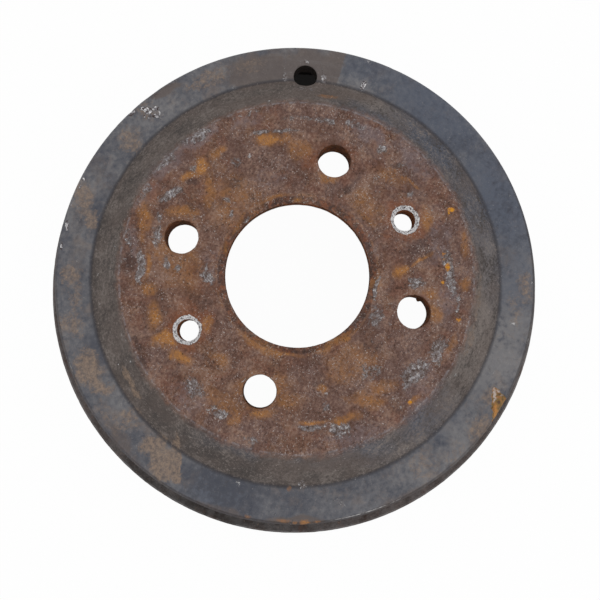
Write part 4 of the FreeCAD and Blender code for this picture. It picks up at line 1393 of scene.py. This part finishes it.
def hole_material(finish, section):
    """Walls of the bore and of the holes; the access hole's is near black with painted shade and some dust.
    """
    material, tree = casting_material("hole_rust")
    shade = tree.mottle(5.0, 0.6, 1.6, 1.3, finish.rust_dark, finish.rust_red, finish.ochre)
    dirt = tree.rise(tree.noise(5.0, 5.0, 0.7), 0.38, 0.58)
    dirt = tree.times(dirt, tree.less(0.75, tree.times(tree.field("bare"), 0.6)))
    shade = tree.blend(dirt, shade, finish.black)
    # The access hole's wall is painted near black: painted shade with some dust.
    outer = tree.rise(tree.radius, section.face_radius, section.foot_radius - 3.0)
    shade = tree.lay(shade, outer, 0.97, finish.soot)
    finish_surface(tree, 0.1, shade, tree.blend(tree.noise(3.0), 0.85, 0.95), tree.grit(0.8, 0.4), 0.3)
    return material


MATERIALS = (face_material, wall_material, back_material, track_material, hole_material)


def new_object(name, data):
    """An object in the scene."""
    made = bpy.data.objects.new(name, data)
    bpy.context.scene.collection.objects.link(made)
    return made


class DRUM_OT_casting(bpy.types.Operator):
    """Build the drum's casting with its rust, stains and wear"""
    bl_idname = "drum.casting"
    bl_label = "Drum casting"

    def execute(self, context):
        """Build the mesh and its materials, and let it stand for the frame's node."""
        scene = context.scene
        section = Section(scene.drum_sections)
        mesh = build_casting(section, scene.drum_wear)
        for make in SHARED_GROUPS:
            make()
        for make in MATERIALS:
            mesh.materials.append(make(scene.drum_finish, section))
        casting = new_object(PIECE, mesh)
        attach(casting, BODY)
        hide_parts(NODE)
        return {"FINISHED"}


# The camera, in the picture's frame: right and up from the axis and above the wheel face, in millimetres.
CAMERA_PLACE = (-5.36, -35.12, 257.9)
CAMERA_TILT_UP = 5.4727
CAMERA_TILT_ASIDE = -1.3894
SENSOR_WIDTH = 36.0
NEAREST_SEEN = 0.01

# The floor's half width and the lamp, in metres, and the floor's gap under the rim in millimetres.
FLOOR_REACH = 3.0
FLOOR_GAP = 0.05
LAMP_PLACE = (0.30, -0.25, 0.75)
LAMP_WIDTH = 0.7


def turning(degrees, axis):
    """A turn about one axis."""
    return Matrix.Rotation(math.radians(degrees), 4, axis)


def add_camera(lens):
    """The camera, where the photograph was taken from."""
    data = bpy.data.cameras.new("camera")
    data.lens = lens
    data.sensor_width = SENSOR_WIDTH
    data.clip_start = NEAREST_SEEN
    camera = new_object("camera", data)
    right, up, above = CAMERA_PLACE
    place = Matrix.Translation(Vector((right, up, above + WHEEL_FACE)) * MM)
    tilt = turning(CAMERA_TILT_UP, "X") @ turning(CAMERA_TILT_ASIDE, "Y")
    camera.matrix_world = turning(PICTURE_TURN, "Z") @ place @ tilt
    bpy.context.scene.camera = camera


def seen_white(tree, kind, share, under):
    """Plain white of the given kind for the camera, for gloss and for glass, over the other shader."""
    white = tree.add(kind, {"Color": 1.0, "Strength": 1.0})
    path = tree.add("ShaderNodeLightPath").outputs
    seen = tree.most(tree.most(path["Is Camera Ray"], path["Is Glossy Ray"]), path["Is Transmission Ray"])
    links = {0: tree.times(seen, share), 1: under.outputs[0], 2: white.outputs[0]}
    return tree.add("ShaderNodeMixShader", links).outputs[0]


def add_floor(shade):
    """The pale floor under the open rim; from below it is clear, so the open side can be seen."""
    level = (RIM - FLOOR_GAP) * MM
    corners = [(x * FLOOR_REACH, y * FLOOR_REACH, level) for x, y in ((-1, -1), (1, -1), (1, 1), (-1, 1))]
    mesh = bpy.data.meshes.new("floor")
    mesh.from_pydata(corners, [], [(0, 1, 2, 3)])
    material, tree = new_material("pale_floor")
    plain = tree.add("ShaderNodeBsdfDiffuse", {"Color": shade})
    clear = tree.add("ShaderNodeBsdfTransparent")
    below = tree.add("ShaderNodeNewGeometry").outputs["Backfacing"]
    sides = tree.add("ShaderNodeMixShader", {
        0: below, 1: seen_white(tree, "ShaderNodeEmission", 0.97, plain), 2: clear.outputs[0]})
    tree.add("ShaderNodeOutputMaterial", {"Surface": sides.outputs[0]})
    mesh.materials.append(material)
    new_object("floor", mesh)


def add_light(lamp_power, sky_strength):
    """Even light from all sides and one wide soft lamp above."""
    world = bpy.data.worlds.new("studio")
    world.use_nodes = True
    tree = Tree(world.node_tree)
    sky = tree.add("ShaderNodeBackground", {"Color": 1.0, "Strength": sky_strength})
    surface = seen_white(tree, "ShaderNodeBackground", 1.0, sky)
    tree.add("ShaderNodeOutputWorld", {"Surface": surface})
    bpy.context.scene.world = world
    data = bpy.data.lights.new("soft_lamp", "AREA")
    data.shape = "DISK"
    data.size = LAMP_WIDTH
    data.energy = lamp_power
    lamp = new_object("soft_lamp", data)
    place = turning(PICTURE_TURN, "Z") @ Vector(LAMP_PLACE)
    lamp.location = place
    lamp.rotation_mode = "QUATERNION"
    lamp.rotation_quaternion = place.to_track_quat("Z", "Y")


class DRUM_OT_stage(bpy.types.Operator):
    """Add the floor, the light and the camera"""
    bl_idname = "drum.stage"
    bl_label = "Floor, light and camera"

    def execute(self, context):
        """Add the stage and set the view transform."""
        stage = context.scene.drum_stage
        add_floor(stage.floor)
        add_light(stage.lamp, stage.sky)
        add_camera(stage.lens)
        context.scene.view_settings.view_transform = "Standard"
        return {"FINISHED"}


class DRUM_PT_panel(bpy.types.Panel):
    """Lists the drum's operators and their values"""
    bl_label = "Brake drum"
    bl_idname = "DRUM_PT_panel"
    bl_space_type = "VIEW_3D"
    bl_region_type = "UI"
    bl_category = "Brake drum"

    def draw(self, context):
        """Draw each group of values above its operator."""
        groups = (("drum_sections", "drum_wear", "drum_finish"), ("drum_stage",))
        for names, operator in zip(groups, (DRUM_OT_casting, DRUM_OT_stage)):
            box = self.layout.box()
            for name in names:
                values = getattr(context.scene, name)
                for value in values.bl_rna.properties:
                    if value.identifier not in ("rna_type", "name"):
                        box.prop(values, value.identifier)
            box.operator(operator.bl_idname)


VALUE_GROUPS = {
    "drum_sections": DrumSections,
    "drum_wear": DrumWear,
    "drum_finish": DrumFinish,
    "drum_stage": DrumStage,
}
CLASSES = (*VALUE_GROUPS.values(), DRUM_OT_casting, DRUM_OT_stage, DRUM_PT_panel)


def register():
    """Register the classes and hang their values on the scene."""
    for item in CLASSES:
        bpy.utils.register_class(item)
    for name, group in VALUE_GROUPS.items():
        setattr(bpy.types.Scene, name, bpy.props.PointerProperty(type=group))


def unregister():
    """Take the values and the classes away again."""
    for name in VALUE_GROUPS:
        delattr(bpy.types.Scene, name)
    for item in reversed(CLASSES):
        bpy.utils.unregister_class(item)


def main():
    """Build the drum and its stage."""
    register()
    bpy.ops.drum.casting()
    bpy.ops.drum.stage()


if __name__ == "__main__":
    main()
